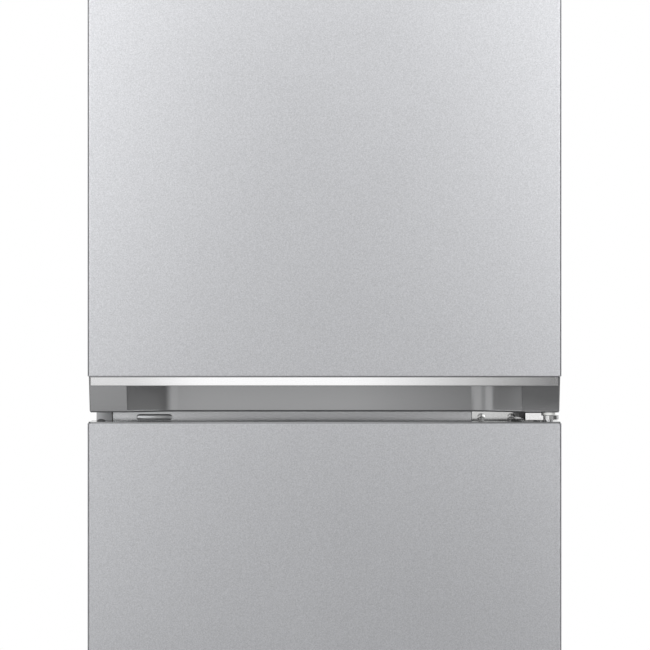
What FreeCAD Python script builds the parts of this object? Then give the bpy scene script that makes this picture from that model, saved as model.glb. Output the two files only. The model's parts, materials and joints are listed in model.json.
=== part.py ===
import FreeCAD
import Part
import math
import os
import re
import Sketcher

# Fridge freezer, two doors hung on the right, as an assembly of separate pieces.
# Millimetres. The floor is z = 0, the doors face -Y, and the origin is under the middle of the object.

SIZES = (
    ("overall_width", 595, "across the doors and the cabinet"),
    ("overall_depth", 667, "door front to back panel"),
    ("overall_height", 1850, "floor to top of the hinge cover"),
    ("steel_sheet", 0.8, "cabinet and door sheet"),
    ("pan_sheet", 1.2, "base pan and middle rail sheet"),
    ("liner_wall", 2, "vacuum-formed plastic liners"),
    ("moulding_wall", 3, "thicker plastic mouldings"),
    ("fit", 0.2, "clearance between pieces that are fitted together"),
    ("running_fit", 0.3, "clearance under pieces that slide"),
    ("pin_fit", 0.05, "radial clearance of pins, bushes and screws"),
    ("overcut", 1, "how far a cut passes the face that it opens"),
    ("foot_height", 30, "floor to cabinet"),
    ("hinge_cover_height", 15, "top of cabinet to top of hinge cover"),
    ("seal_gap", 12, "door back to cabinet front, filled by the gasket"),
    ("front_flange", 20.5, "inward fold of the cabinet sheet round the front"),
    ("fridge_side_wall", 48, "insulated side, fridge"),
    ("fridge_back_wall", 55, "insulated back, fridge"),
    ("freezer_side_wall", 58, "insulated side, freezer"),
    ("freezer_back_wall", 70, "insulated back, freezer"),
    ("top_wall", 55, "insulated top"),
    ("bottom_wall", 62, "insulated bottom"),
    ("step_wall", 58, "insulation over the machine space"),
    ("machine_depth", 213.5, "machine space, front to back"),
    ("machine_height", 220, "machine space, bottom to top"),
    ("base_lip", 30, "front lip of the base pan"),
    ("rail_below", 35, "middle rail below the freezer door's top"),
    ("rail_above", 28.5, "middle rail above the fridge door's bottom"),
    ("rail_depth", 18, "middle rail, front to back"),
    ("fitting_rise", 1.3, "rail screws and cover above the freezer door's top"),
    ("slot_cover_inset", 75.5, "middle of the slot cover inside the cabinet's side"),
    ("slot_cover_width", 46, "slot cover"),
    ("slot_cover_height", 8, "slot cover"),
    ("slot_cover_rise", 1.6, "slot cover in front of the rail"),
    ("slot_cover_round", 3.4, "corner radius of the slot cover"),
    ("condenser_gap", 7, "space for the condenser tube inside the back panel"),
    ("louvre_width", 6, "louvre in the machine cover"),
    ("louvre_height", 110, "louvre in the machine cover"),
    ("louvre_span", 380, "first louvre to last"),
    ("passage_half", 40, "air passage between the compartments, half width"),
    ("passage_depth", 24, "air passage, front to back"),
    ("passage_setback", 6, "air passage behind the front of the fridge air duct"),
    ("door_thickness", 60, "door, front to back"),
    ("door_edge_radius", 4, "rounded upright edges of the door skins"),
    ("door_split", 12.5, "gap between the doors"),
    ("door_top_gap", 2, "door top below the cabinet top"),
    ("freezer_door_bottom", 50, "floor to freezer door"),
    ("freezer_door_top", 715, "floor to the freezer door's top"),
    ("cap_depth", 24, "door end caps"),
    ("cap_lip", 2, "freezer door cap's lip above the skin"),
    ("cap_lip_depth", 12, "the same lip, front to back"),
    ("cap_ledge_drop", 5, "cap behind the finger channel, below the lip"),
    ("channel_depth", 17, "finger channel below the lip"),
    ("channel_width", 22, "finger channel, front to back"),
    ("grip_height", 44.5, "grip moulding under the fridge door's skin"),
    ("grip_top_setback", 4.4, "grip face behind the door front, at its top"),
    ("grip_bottom_setback", 11.3, "grip face behind the door front, at its bottom"),
    ("grip_end_inset", 1.2, "grip ends inside the door's sides"),
    ("grip_end_round", 1.5, "rounded upright ends of the grip face"),
    ("trim_gap", 1, "dark line above and below the trim"),
    ("trim_height", 10.2, "bright strip"),
    ("trim_inset", 3.8, "strip ends inside the door's sides"),
    ("trim_seat", 8.5, "back of the strip, behind the door front"),
    ("trim_proud", 0.4, "strip in front of the grip face"),
    ("recess_inset", 48.5, "finger recess inside the door's sides"),
    ("recess_step", 13, "where the recess ends start to curve, behind the door front"),
    ("recess_back", 29, "recess back wall, behind the door front"),
    ("recess_curve", 62, "length of each curved end"),
    ("undercut_front", 14, "back of the lip behind the strip, behind the door front"),
    ("undercut_height", 7, "finger undercut behind the lip"),
    ("hinge_inset", 14, "hinge axis from the door's side"),
    ("hinge_setback", 22, "hinge axis behind the door front"),
    ("hinge_plate", 2.5, "hinge mounting plates"),
    ("hinge_end", 13, "radius round the hinge axis at the end of the middle and bottom arms"),
    ("top_hinge_end", 9, "radius round the hinge axis at the end of the top arm"),
    ("arm_clearance", 2, "middle hinge arm above the freezer door"),
    ("arm_thickness", 5.5, "middle and bottom hinge arms"),
    ("arm_rib", 3.2, "rib on the middle hinge arm"),
    ("arm_rib_width", 20, "rib on the middle hinge arm"),
    ("arm_width", 43.5, "middle and bottom hinge arms"),
    ("middle_plate_width", 60.8, "middle hinge plate"),
    ("middle_plate_height", 21.5, "middle hinge plate"),
    ("top_plate_width", 75, "top hinge plate"),
    ("top_plate_depth", 54, "top hinge plate"),
    ("plate_inset", 8, "top hinge plate behind the cabinet front"),
    ("top_screw_setback", 26, "front screws of the top hinge behind the cabinet front"),
    ("top_screw_margin", 10.4, "top hinge screws from the plate's left and back edges"),
    ("bottom_plate_margin", 2, "bottom hinge plate inside the base lip"),
    ("pin_radius", 4, "hinge pins"),
    ("pin_reach", 17, "hinge pin inside a door"),
    ("pin_head", 2, "hinge pin beyond its bracket"),
    ("bush_radius", 7, "door bushes"),
    ("bush_length", 20, "door bushes"),
    ("bush_flange_radius", 9, "flange under the fridge door and the freezer door"),
    ("bottom_flange", 4, "flange of the lowest bush"),
    ("screw_radius", 2.4, "hinge screws"),
    ("screw_length", 12, "hinge screws under the head"),
    ("screw_head_radius", 5.2, "hinge screw heads"),
    ("screw_head", 2.6, "hinge screw heads"),
    ("cross_width", 1.5, "cross recess in a screw head"),
    ("cross_length", 6, "cross recess in a screw head"),
    ("cross_depth", 1.5, "cross recess in a screw head"),
    ("screw_margin", 12, "middle hinge screws from the plate's left end"),
    ("screw_pitch", 39, "between the middle hinge screws"),
    ("cover_margin", 7, "top hinge cover round the top plate"),
    ("cover_edge_inset", 1, "top hinge cover inside the cabinet's side"),
    ("cover_round", 6, "rounded corners of the top hinge cover"),
    ("cover_edge_round", 3, "rounded upper edge of the top hinge cover"),
    ("plug_radius", 6, "hinge hole plug"),
    ("plug_rise", 2.3, "hinge hole plug above the freezer door"),
    ("plug_stem_radius", 4, "hinge hole plug's stem"),
    ("plug_stem", 8, "hinge hole plug's stem"),
    ("gasket_inset", 15.5, "gasket inside the door's sides"),
    ("gasket_edge", 11, "gasket inside the door's top and bottom"),
    ("gasket_width", 17, "gasket foot and magnet bead"),
    ("gasket_waist", 9, "gasket bellows"),
    ("gasket_foot", 3, "gasket foot thickness"),
    ("gasket_bead", 4, "magnet bead thickness"),
    ("foot_inset", 72.5, "front foot inside the cabinet's side"),
    ("foot_setback", 48, "front foot behind the cabinet front"),
    ("foot_radius", 18, "front foot pad"),
    ("foot_pad", 9, "front foot pad height"),
    ("foot_collar", 8, "narrower collar on the pad"),
    ("foot_collar_radius", 11, "narrower collar on the pad"),
    ("stud_radius", 5, "front foot stud"),
    ("stud_reach", 20, "stud above the cabinet bottom"),
    ("boss_radius", 9, "threaded boss on the base pan"),
    ("boss_height", 22, "threaded boss on the base pan"),
    ("roller_inset", 61.5, "rear roller inside the cabinet's side"),
    ("roller_setback", 40, "rear roller in front of the back"),
    ("roller_radius", 14, "rear roller"),
    ("roller_width", 16, "rear roller"),
    ("axle_radius", 3, "rear roller axle"),
    ("ear_sheet", 2, "compressor tray and its roller ears"),
    ("ear_half", 12, "roller ears, half length"),
    ("ear_drop", 7, "roller ears below the axle"),
    ("tray_front_gap", 18, "compressor tray behind the machine space's front"),
    ("tray_back_gap", 14, "compressor tray in front of the back"),
    ("compressor_x", 90, "compressor from the middle"),
    ("compressor_setback", 110, "compressor axis in front of the back"),
    ("compressor_radius", 85, "compressor shell"),
    ("compressor_height", 156, "compressor shell"),
    ("shell_taper", 8.5, "compressor shell narrower at its bottom"),
    ("taper_rise", 22, "height of that taper"),
    ("compressor_plate", 4, "compressor foot plate"),
    ("compressor_plate_half", 78, "compressor foot plate"),
    ("seam_rise", 66, "welded seam above the shell's bottom"),
    ("seam_height", 6, "welded seam"),
    ("seam_reach", 4, "welded seam outside the shell"),
    ("stub_reach", 105, "tube stubs from the compressor axis"),
    ("stub_offset", 30, "tube stubs each side of the compressor axis"),
    ("stub_rise", 85, "tube stubs above the shell's bottom"),
    ("stub_radius", 4, "tube stubs"),
    ("drip_tray_half", 90, "drip tray, half width"),
    ("drip_tray_depth", 140, "drip tray, front to back"),
    ("drip_tray_height", 26, "drip tray"),
    ("tube_radius", 2.5, "condenser and suction tubes"),
    ("tube_bend", 15, "bends in the tubes"),
    ("riser_x", -60, "discharge tube going up"),
    ("suction_x", -85, "suction tube going up"),
    ("suction_rise", 150, "suction tube's entry above the machine space"),
    ("condenser_inset", 72.5, "condenser inside the cabinet's sides"),
    ("condenser_rise", 240, "lowest run above the machine space"),
    ("condenser_top_gap", 149, "highest run below the cabinet top"),
    ("return_inset", 42.5, "condenser tube coming down, inside the cabinet's side"),
    ("drier_radius", 8, "filter drier"),
    ("drier_length", 70, "filter drier"),
    ("drier_level", 150, "top of the filter drier above the floor"),
    ("inlet_inset", 72.5, "mains inlet inside the cabinet's side"),
    ("inlet_rise", 60, "mains inlet above the cabinet bottom"),
    ("inlet_radius", 11, "mains inlet"),
    ("inlet_bore", 4.5, "mains inlet bore"),
    ("inlet_depth", 14, "mains inlet"),
    ("fan_chamber", 70, "space behind the freezer air panel"),
    ("evaporator_gap", 54.5, "evaporator to the freezer liner's sides"),
    ("evaporator_depth", 54, "evaporator"),
    ("evaporator_rise", 55, "evaporator above the machine step"),
    ("evaporator_height", 160, "evaporator"),
    ("fin_sheet", 0.6, "evaporator fins"),
    ("end_sheet", 2, "evaporator end plates"),
    ("coil_radius", 4, "evaporator tubes"),
    ("coil_pitch", 26, "between evaporator tubes"),
    ("heater_radius", 4, "defrost heater"),
    ("heater_drop", 18, "defrost heater below the fins"),
    ("fan_drop", 78, "fan axis below the freezer ceiling"),
    ("fan_opening", 56, "opening in the air panel"),
    ("fan_radius", 52, "fan blades"),
    ("fan_hub_radius", 15, "fan hub"),
    ("fan_length", 15, "fan hub"),
    ("fan_setback", 4, "fan behind the air panel"),
    ("blade_sheet", 2, "fan blades"),
    ("blade_chord", 12, "fan blades"),
    ("blade_pitch", 35, "fan blade angle in degrees"),
    ("motor_radius", 20, "fan motor"),
    ("motor_length", 22, "fan motor"),
    ("motor_gap", 4, "fan to motor"),
    ("motor_arm", 4, "motor bracket arms"),
    ("motor_arm_reach", 64, "motor bracket arms from the fan axis"),
    ("shaft_radius", 2.5, "fan shaft"),
    ("shaft_setback", 5, "end of the fan shaft behind the front of the hub"),
    ("panel_slot_half", 70, "air panel outlet, half width"),
    ("panel_slot_height", 9, "air panel outlet"),
    ("panel_slot_drop", 22, "air panel outlet below each drawer's top"),
    ("duct_half", 70, "fridge air duct, half width"),
    ("duct_depth", 46, "fridge air duct"),
    ("duct_top_gap", 60, "duct top below the fridge ceiling"),
    ("duct_slot_inner", 18, "duct outlets from the middle"),
    ("duct_slot_outer", 52, "duct outlets from the middle"),
    ("duct_slot_height", 10, "duct outlets"),
    ("duct_slot_rise", 60, "duct outlets above each shelf"),
    ("flap_sheet", 2, "damper flap"),
    ("flap_rise", 5, "damper flap above the duct's floor"),
    ("flap_margin", 2, "damper flap round the passage"),
    ("pivot_radius", 2, "damper pivot"),
    ("pivot_ear", 6, "damper pivot's ears round the pivot"),
    ("glass", 4, "glass shelves"),
    ("shelf_rib", 12, "liner ribs under the shelves, reach"),
    ("rib_height", 8, "liner ribs under the shelves"),
    ("shelf_side_gap", 2, "glass to liner"),
    ("shelf_back_gap", 6, "glass to the air duct or panel"),
    ("top_shelf_space", 228.7, "top fridge shelf below the ceiling"),
    ("shelf_headroom", 10, "crisper to the glass above"),
    ("trim_bar", 3, "shelf trim round the glass"),
    ("trim_bar_depth", 12, "shelf trim, front to back"),
    ("crisper_side_gap", 27.5, "crisper to the fridge liner's sides"),
    ("crisper_height", 168, "crisper"),
    ("drawer_wall", 2.5, "drawer and bin walls"),
    ("drawer_round", 14, "rounded drawer and bin corners"),
    ("drawer_lip", 10, "drawer handle lip, front to back"),
    ("drawer_lip_half", 70, "drawer handle lip, half width"),
    ("drawer_lip_sheet", 6, "drawer handle lip"),
    ("drawer_back_gap", 12, "drawer to what stands behind it"),
    ("drawer_setback", 26.5, "freezer drawers behind the cabinet front"),
    ("freezer_drawer_gap", 17.5, "freezer drawers to the freezer liner's sides"),
    ("freezer_pitch", 187, "between the freezer shelves"),
    ("bottom_drawer_height", 195, "bottom freezer drawer"),
    ("middle_drawer_height", 172, "middle freezer drawer"),
    ("top_drawer_height", 166, "top freezer drawer"),
    ("dyke_inset", 82.5, "inner faces of the door liner's upright walls, inside the door's sides"),
    ("dyke_width", 18, "door liner's upright walls"),
    ("dyke_depth", 70, "door liner's upright walls"),
    ("dyke_margin", 60, "upright walls inside the door's top and the grip"),
    ("lug_reach", 10, "lugs that carry the door bins"),
    ("lug_length", 16, "lugs that carry the door bins"),
    ("lug_height", 8, "lugs that carry the door bins"),
    ("lug_setback", 24, "lugs behind the door liner"),
    ("hook_sheet", 6, "bin hooks over the lugs"),
    ("hook_overlap", 8, "bin hooks over the lugs"),
    ("bin_depth", 88, "door bins"),
    ("bin_gap", 22, "door bins to the shelves"),
    ("bottle_bin_rise", 60, "bottle bin above the grip"),
    ("bottle_bin_height", 130, "bottle bin"),
    ("middle_bin_rise", 400, "middle bin above the grip"),
    ("middle_bin_height", 90, "middle bin"),
    ("upper_bin_rise", 720, "upper bin above the grip"),
    ("upper_bin_height", 75, "upper bin"),
    ("emboss_inset", 97.5, "raised panel of the freezer door liner, inside the door's sides"),
    ("emboss_depth", 8, "raised panel of the freezer door liner"),
    ("emboss_margin", 90, "raised panel inside the freezer door's top and bottom"),
    ("control_half", 110, "control panel, half width"),
    ("control_setback", 40, "control panel behind the cabinet front"),
    ("control_depth", 70, "control panel"),
    ("control_height", 14, "control panel"),
    ("control_window", 82, "control panel window, half width"),
    ("control_window_depth", 30, "control panel window"),
    ("lens_half", 75, "light lens, half width"),
    ("lens_gap", 20, "control panel to light lens"),
    ("lens_depth", 60, "light lens"),
    ("lens_height", 9, "light lens"),
    ("edge_round", 3, "small rounded edges"),
)

# Places worked out from the sizes. Words that aren't places here are sizes in the sheet.
PLACES = {
    "half_width": "overall_width / 2",
    "front": "-overall_depth / 2",
    "back": "overall_depth / 2",
    "door_back": "front + door_thickness",
    "cabinet_front": "door_back + seal_gap",
    "cabinet_bottom": "foot_height",
    "cabinet_top": "overall_height - hinge_cover_height",
    "inner_width": "half_width - steel_sheet",
    "flange_edge": "half_width - front_flange - fit",
    "base_lip_top": "cabinet_bottom + base_lip",
    "fridge_door_bottom": "freezer_door_top + door_split",
    "fridge_door_top": "cabinet_top - door_top_gap",
    "rail_bottom": "freezer_door_top - rail_below",
    "rail_top": "fridge_door_bottom + rail_above",
    "fitting_level": "freezer_door_top + fitting_rise",
    "slot_cover_x": "half_width - slot_cover_inset",
    "foot_x": "half_width - foot_inset",
    "roller_x": "half_width - roller_inset",
    "inlet_x": "half_width - inlet_inset",
    "fridge_side": "half_width - fridge_side_wall",
    "fridge_back": "back - fridge_back_wall",
    "fridge_floor": "rail_top + liner_wall",
    "fridge_ceiling": "cabinet_top - top_wall",
    "freezer_side": "half_width - freezer_side_wall",
    "freezer_back": "back - freezer_back_wall",
    "freezer_floor": "cabinet_bottom + bottom_wall",
    "freezer_ceiling": "rail_bottom - liner_wall",
    "machine_front": "back - machine_depth",
    "machine_top": "cabinet_bottom + machine_height",
    "foam_back": "back - steel_sheet - condenser_gap",
    "tube_line": "back - steel_sheet - fit - tube_radius",
    "step_front": "machine_front - step_wall",
    "step_top": "machine_top + step_wall",
    "duct_front": "fridge_back - duct_depth",
    "passage_front": "duct_front + passage_setback",
    "passage_back": "passage_front + passage_depth",
    "panel_front": "freezer_back - fan_chamber",
    "panel_back": "panel_front + moulding_wall",
    "hinge_x": "half_width - hinge_inset",
    "hinge_y": "front + hinge_setback",
    "middle_arm_bottom": "freezer_door_top + arm_clearance",
    "middle_arm_top": "middle_arm_bottom + arm_thickness",
    "bottom_arm_top": "freezer_door_bottom - bottom_flange - running_fit",
    "bottom_arm_bottom": "bottom_arm_top - arm_thickness",
    "middle_plate_right": "hinge_x + hinge_end - arm_width - fit",
    "middle_plate_left": "middle_plate_right - middle_plate_width",
    "bottom_screw_level": "cabinet_bottom + base_lip / 2",
    "grip_top": "fridge_door_bottom + grip_height",
    "grip_back": "door_back - liner_wall",
    "trim_top": "grip_top - trim_gap",
    "trim_bottom": "trim_top - trim_height",
    "recess_top": "trim_bottom - trim_gap",
    "recess_half": "half_width - recess_inset",
    "grip_slope": "(grip_bottom_setback - grip_top_setback) / grip_height",
    "skin_top": "freezer_door_top - cap_lip",
    "compressor_y": "back - compressor_setback",
    "tray_top": "cabinet_bottom + ear_sheet",
    "shell_bottom": "tray_top + compressor_plate",
    "shell_top": "shell_bottom + compressor_height",
    "suction_level": "machine_top + suction_rise",
    "condenser_bottom": "machine_top + condenser_rise",
    "condenser_top": "cabinet_top - condenser_top_gap",
    "condenser_half": "half_width - condenser_inset",
    "return_x": "half_width - return_inset",
    "evaporator_half": "freezer_side - evaporator_gap",
    "evaporator_front": "panel_back + running_fit",
    "evaporator_back": "evaporator_front + evaporator_depth",
    "evaporator_bottom": "step_top + evaporator_rise",
    "evaporator_top": "evaporator_bottom + evaporator_height",
    "heater_level": "evaporator_bottom - heater_drop",
    "heater_y": "evaporator_front + evaporator_depth / 2",
    "fan_level": "freezer_ceiling - fan_drop",
    "fan_front": "panel_back + fan_setback",
    "fan_back": "fan_front + fan_length",
    "motor_front": "fan_back + motor_gap",
    "duct_floor": "fridge_floor + liner_wall",
    "flap_level": "duct_floor + flap_rise",
    "shelf_front": "door_back + bin_depth + bin_gap",
    "shelf_back": "duct_front - shelf_back_gap",
    "shelf_half": "fridge_side - shelf_side_gap",
    "crisper_bottom": "fridge_floor + running_fit",
    "crisper_shelf": "crisper_bottom + crisper_height + shelf_headroom",
    "crisper_half": "fridge_side - crisper_side_gap",
    "freezer_glass_half": "freezer_side - shelf_side_gap",
    "freezer_drawer_half": "freezer_side - freezer_drawer_gap",
    "freezer_drawer_front": "cabinet_front + drawer_setback",
    "upper_freezer_shelf": "step_top + glass + freezer_pitch",
    "dyke_inner": "half_width - dyke_inset",
    "bin_half": "dyke_inner - lug_reach - running_fit",
    "emboss_half": "half_width - emboss_inset",
    "control_front": "cabinet_front + control_setback",
    "lens_front": "control_front + control_depth + lens_gap",
}
FRIDGE_SHELF_COUNT = 4
SHELF_PITCH = f"(fridge_ceiling - top_shelf_space - crisper_shelf) / {FRIDGE_SHELF_COUNT - 1}"
FRIDGE_SHELVES = tuple(f"crisper_shelf + {n} * {SHELF_PITCH}" for n in range(FRIDGE_SHELF_COUNT))
FREEZER_SHELVES = ("step_top", "upper_freezer_shelf")
DOOR_BINS = ("bottle_bin", "middle_bin", "upper_bin")
EVAPORATOR_FINS = 26
EVAPORATOR_ROWS = 6
CONDENSER_RUNS = 14
MACHINE_LOUVRES = 24
FAN_BLADES = 5
SIDES = (-1, 1)
# Two places this near, in millimetres, count as one, and a direction this straight as an axis.
CLOSE = 0.01
STRAIGHT = 0.99

document = FreeCAD.newDocument("FridgeFreezer")
sheet = document.addObject("Spreadsheet::Sheet", "Sizes")
for row, (alias, number, meaning) in enumerate(SIZES, start=1):
    sheet.set(f"A{row}", alias)
    sheet.set(f"B{row}", str(number))
    sheet.setAlias(f"B{row}", alias)
    sheet.set(f"C{row}", meaning)
document.recompute()


def bound(expression):
    """The expression with its places worked out and its sizes read from the sheet."""
    def word(match):
        name = match.group(0)
        if name in PLACES:
            return f"({bound(PLACES[name])})"
        return f"Sizes.{name}"
    return re.sub(r"[a-z]+(?:_[a-z]+)*", word, expression)


def value(expression):
    """The expression's value now, in millimetres."""
    result = sheet.evalExpression(bound(expression))
    return float(getattr(result, "Value", result))


def across(half):
    """A span that is even about the middle plane."""
    return (f"-({half})", half)


def beside(side, near, far):
    """A span from near to far, on the left (-1) or the right (1)."""
    if side > 0:
        return (near, far)
    return (f"-({far})", f"-({near})")


def body(label):
    piece = document.addObject("PartDesign::Body", label)
    piece.Label = label
    return piece


def place(feature, x, y, z):
    for axis, expression in zip("xyz", (x, y, z)):
        feature.setExpression(f"Placement.Base.{axis}", bound(expression))


def set_box(feature, x, y, z):
    for size, (low, high) in zip(("Length", "Width", "Height"), (x, y, z)):
        feature.setExpression(size, bound(f"({high}) - ({low})"))
    place(feature, x[0], y[0], z[0])
    return feature


def add_box(piece, x, y, z):
    return set_box(piece.newObject("PartDesign::AdditiveBox", "Block"), x, y, z)


def cut_box(piece, x, y, z):
    return set_box(piece.newObject("PartDesign::SubtractiveBox", "Notch"), x, y, z)


def loose_box(name, x, y, z):
    return set_box(document.addObject("Part::Box", name), x, y, z)


ROD_TURNS = {
    "x": FreeCAD.Rotation(FreeCAD.Vector(0, 1, 0), 90),
    "y": FreeCAD.Rotation(FreeCAD.Vector(1, 0, 0), -90),
    "z": FreeCAD.Rotation(),
}


def set_rod(feature, axis, start, length, radius):
    feature.Placement = FreeCAD.Placement(FreeCAD.Vector(), ROD_TURNS[axis])
    feature.setExpression("Radius", bound(radius))
    feature.setExpression("Height", bound(length))
    place(feature, *start)
    return feature


def add_rod(piece, axis, start, length, radius):
    return set_rod(piece.newObject("PartDesign::AdditiveCylinder", "Rod"), axis, start, length, radius)


def cut_rod(piece, axis, start, length, radius):
    return set_rod(piece.newObject("PartDesign::SubtractiveCylinder", "Bore"), axis, start, length, radius)


def loose_rod(name, axis, start, length, radius):
    return set_rod(document.addObject("Part::Cylinder", name), axis, start, length, radius)


def origin_part(piece, role):
    return next(item for item in piece.Origin.OriginFeatures if item.Role == role)


def arc_middle(start, end, radius, turn):
    """The middle of the arc from start to end that turns left (1) or right (-1)."""
    chord = end - start
    half = chord.Length / 2
    inward = FreeCAD.Vector(-chord.y, chord.x, 0).normalize() * turn
    centre = (start + end) / 2 + inward * math.sqrt(radius ** 2 - half ** 2)
    return centre - inward * radius


def outline(piece, plane, points, height="0"):
    """A closed sketch, each point bound to the sizes. A point with a radius and a turn starts an arc."""
    sketch = piece.newObject("Sketcher::SketchObject", "Outline")
    sketch.AttachmentSupport = [(origin_part(piece, plane), "")]
    sketch.MapMode = "FlatFace"
    sketch.setExpression("AttachmentOffset.Base.z", bound(height))
    corners = [FreeCAD.Vector(value(point[0]), value(point[1]), 0) for point in points]
    ends = []
    for index, point in enumerate(points):
        start = corners[index]
        end = corners[(index + 1) % len(points)]
        if len(point) == 2:
            sketch.addGeometry(Part.LineSegment(start, end), False)
            ends.append((1, 2))
        else:
            middle = arc_middle(start, end, value(point[2]), point[3])
            sketch.addGeometry(Part.Arc(start, middle, end), False)
            ends.append((1, 2) if point[3] > 0 else (2, 1))
    for index, point in enumerate(points):
        following = (index + 1) % len(points)
        joint = (index, ends[index][1], following, ends[following][0])
        sketch.addConstraint(Sketcher.Constraint("Coincident", *joint))
    for index, point in enumerate(points):
        for kind, expression in zip(("DistanceX", "DistanceY"), point):
            mark = Sketcher.Constraint(kind, -1, 1, index, ends[index][0], value(expression))
            sketch.setExpression(f"Constraints[{sketch.addConstraint(mark)}]", bound(expression))
        if len(point) > 2:
            mark = Sketcher.Constraint("Radius", index, value(point[2]))
            sketch.setExpression(f"Constraints[{sketch.addConstraint(mark)}]", bound(point[2]))
    return sketch


def pad(piece, sketch, length):
    """The sketch drawn out evenly to both sides of its plane."""
    feature = piece.newObject("PartDesign::Pad", "Pad")
    feature.Profile = sketch
    feature.Midplane = True
    feature.setExpression("Length", bound(length))
    return feature


def pocket(piece, sketch, length):
    """The sketch cut away below its plane."""
    feature = piece.newObject("PartDesign::Pocket", "Pocket")
    feature.Profile = sketch
    feature.setExpression("Length", bound(length))
    return feature


def turned(piece, points):
    """A round piece about its own Z axis, from radius and height points."""
    sketch = outline(piece, "XZ_Plane", points)
    feature = piece.newObject("PartDesign::Revolution", "Turned")
    feature.Profile = sketch
    feature.ReferenceAxis = (sketch, ["V_Axis"])
    feature.Angle = 360
    return feature


def row_of(piece, original, axis, length, count):
    feature = piece.newObject("PartDesign::LinearPattern", "Row")
    feature.Originals = [original]
    feature.Direction = (origin_part(piece, axis), [""])
    feature.setExpression("Length", bound(length))
    feature.Occurrences = count
    piece.Tip = feature
    return feature


def ring_of(piece, original, count):
    feature = piece.newObject("PartDesign::PolarPattern", "Ring")
    feature.Originals = [original]
    feature.Axis = (origin_part(piece, "Z_Axis"), [""])
    feature.Angle = 360
    feature.Occurrences = count
    piece.Tip = feature
    return feature


def runs_along(edge, axis):
    direction = edge.tangentAt(edge.FirstParameter)
    return abs(getattr(direction, axis)) > STRAIGHT


def round_edges(piece, radius, chosen):
    document.recompute()
    base = piece.Tip
    names = [f"Edge{n}" for n, edge in enumerate(base.Shape.Edges, start=1) if chosen(edge)]
    feature = piece.newObject("PartDesign::Fillet", "Round")
    feature.Base = (base, names)
    feature.setExpression("Radius", bound(radius))
    return feature


def hollow(piece, wall, is_open):
    """The piece with a wall of even thickness, open at the faces chosen."""
    document.recompute()
    base = piece.Tip
    names = [f"Face{n}" for n, face in enumerate(base.Shape.Faces, start=1) if is_open(face)]
    feature = piece.newObject("PartDesign::Thickness", "Wall")
    feature.Base = (base, names)
    feature.setExpression("Value", bound(wall))
    feature.Mode = 0
    feature.Join = 0
    feature.Reversed = True
    return feature


def faces_along(axis, sign):
    """A test for flat faces that look along an axis."""
    def test(face):
        if face.Surface.TypeId != "Part::GeomPlane":
            return False
        return getattr(face.normalAt(0, 0), axis) * sign > STRAIGHT
    return test


def group(label, members):
    piece = document.addObject("Part::Compound", label)
    piece.Label = label
    piece.Links = members
    return piece


# Hinge screws: where each stands, and which way it points.
SCREW_PLACES = {
    "top": [
        ("hinge_x - top_hinge_end - screw_head_radius", "cabinet_front + top_screw_setback", "z"),
        ("hinge_x + top_hinge_end - top_plate_width + top_screw_margin",
         "cabinet_front + top_screw_setback", "z"),
        ("hinge_x + top_hinge_end - top_plate_width / 2",
         "cabinet_front + plate_inset + top_plate_depth - top_screw_margin", "z"),
    ],
    "middle": [
        ("middle_plate_left + screw_margin", "fitting_level", "y"),
        ("middle_plate_left + screw_margin + screw_pitch", "fitting_level", "y"),
    ],
    "bottom": [
        ("middle_plate_left + screw_margin", "bottom_screw_level", "y"),
        ("middle_plate_left + screw_margin + screw_pitch", "bottom_screw_level", "y"),
    ],
}


def screw_seat(screw):
    """Where the underside of the screw's head rests."""
    if screw[2] == "z":
        return (screw[0], screw[1], "cabinet_top + hinge_plate")
    return (screw[0], "cabinet_front - hinge_plate", screw[1])


def cut_screw_holes(piece, hinge):
    for screw in SCREW_PLACES[hinge]:
        x, y, z = screw_seat(screw)
        start = (x, y, f"{z} - screw_length - overcut") if screw[2] == "z" else (x, f"{y} - overcut", z)
        cut_rod(piece, screw[2], start, "screw_length + 2 * overcut", "screw_radius + pin_fit")


# Cabinet

def cabinet_shell():
    """One folded steel sheet: both sides and the top, with a flange turned in round the front."""
    piece = body("cabinet_shell")
    add_box(piece, across("half_width"), ("cabinet_front", "back"), ("cabinet_bottom", "cabinet_top"))
    cut_box(piece, across("inner_width"), ("cabinet_front + steel_sheet", "back + overcut"),
            ("cabinet_bottom - overcut", "cabinet_top - steel_sheet"))
    cut_box(piece, across("half_width - front_flange"),
            ("cabinet_front - overcut", "cabinet_front + steel_sheet + overcut"),
            ("cabinet_bottom - overcut", "cabinet_top - front_flange"))
    cut_screw_holes(piece, "top")
    return piece


def back_panel():
    piece = body("back_panel")
    add_box(piece, across("inner_width"), ("back - steel_sheet", "back"),
            ("machine_top", "cabinet_top - steel_sheet"))
    return piece


def base_pan():
    """Bent sheet under the insulation, stepped up over the machine space, with threaded foot bosses."""
    piece = body("base_pan")
    add_box(piece, across("inner_width"), ("cabinet_front + steel_sheet", "machine_front"),
            ("cabinet_bottom", "cabinet_bottom + pan_sheet"))
    add_box(piece, across("flange_edge"), ("cabinet_front", "cabinet_front + pan_sheet"),
            ("cabinet_bottom", "base_lip_top"))
    add_box(piece, across("inner_width"), ("machine_front - pan_sheet", "machine_front"),
            ("cabinet_bottom", "machine_top + pan_sheet"))
    add_box(piece, across("inner_width"), ("machine_front - pan_sheet", "foam_back"),
            ("machine_top", "machine_top + pan_sheet"))
    for side in SIDES:
        foot = (f"{side} * foot_x", "cabinet_front + foot_setback")
        add_rod(piece, "z", (*foot, "cabinet_bottom"), "boss_height", "boss_radius")
        cut_rod(piece, "z", (*foot, "cabinet_bottom - overcut"), "boss_height + 2 * overcut",
                "stud_radius + pin_fit")
    cut_screw_holes(piece, "bottom")
    return piece


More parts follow.
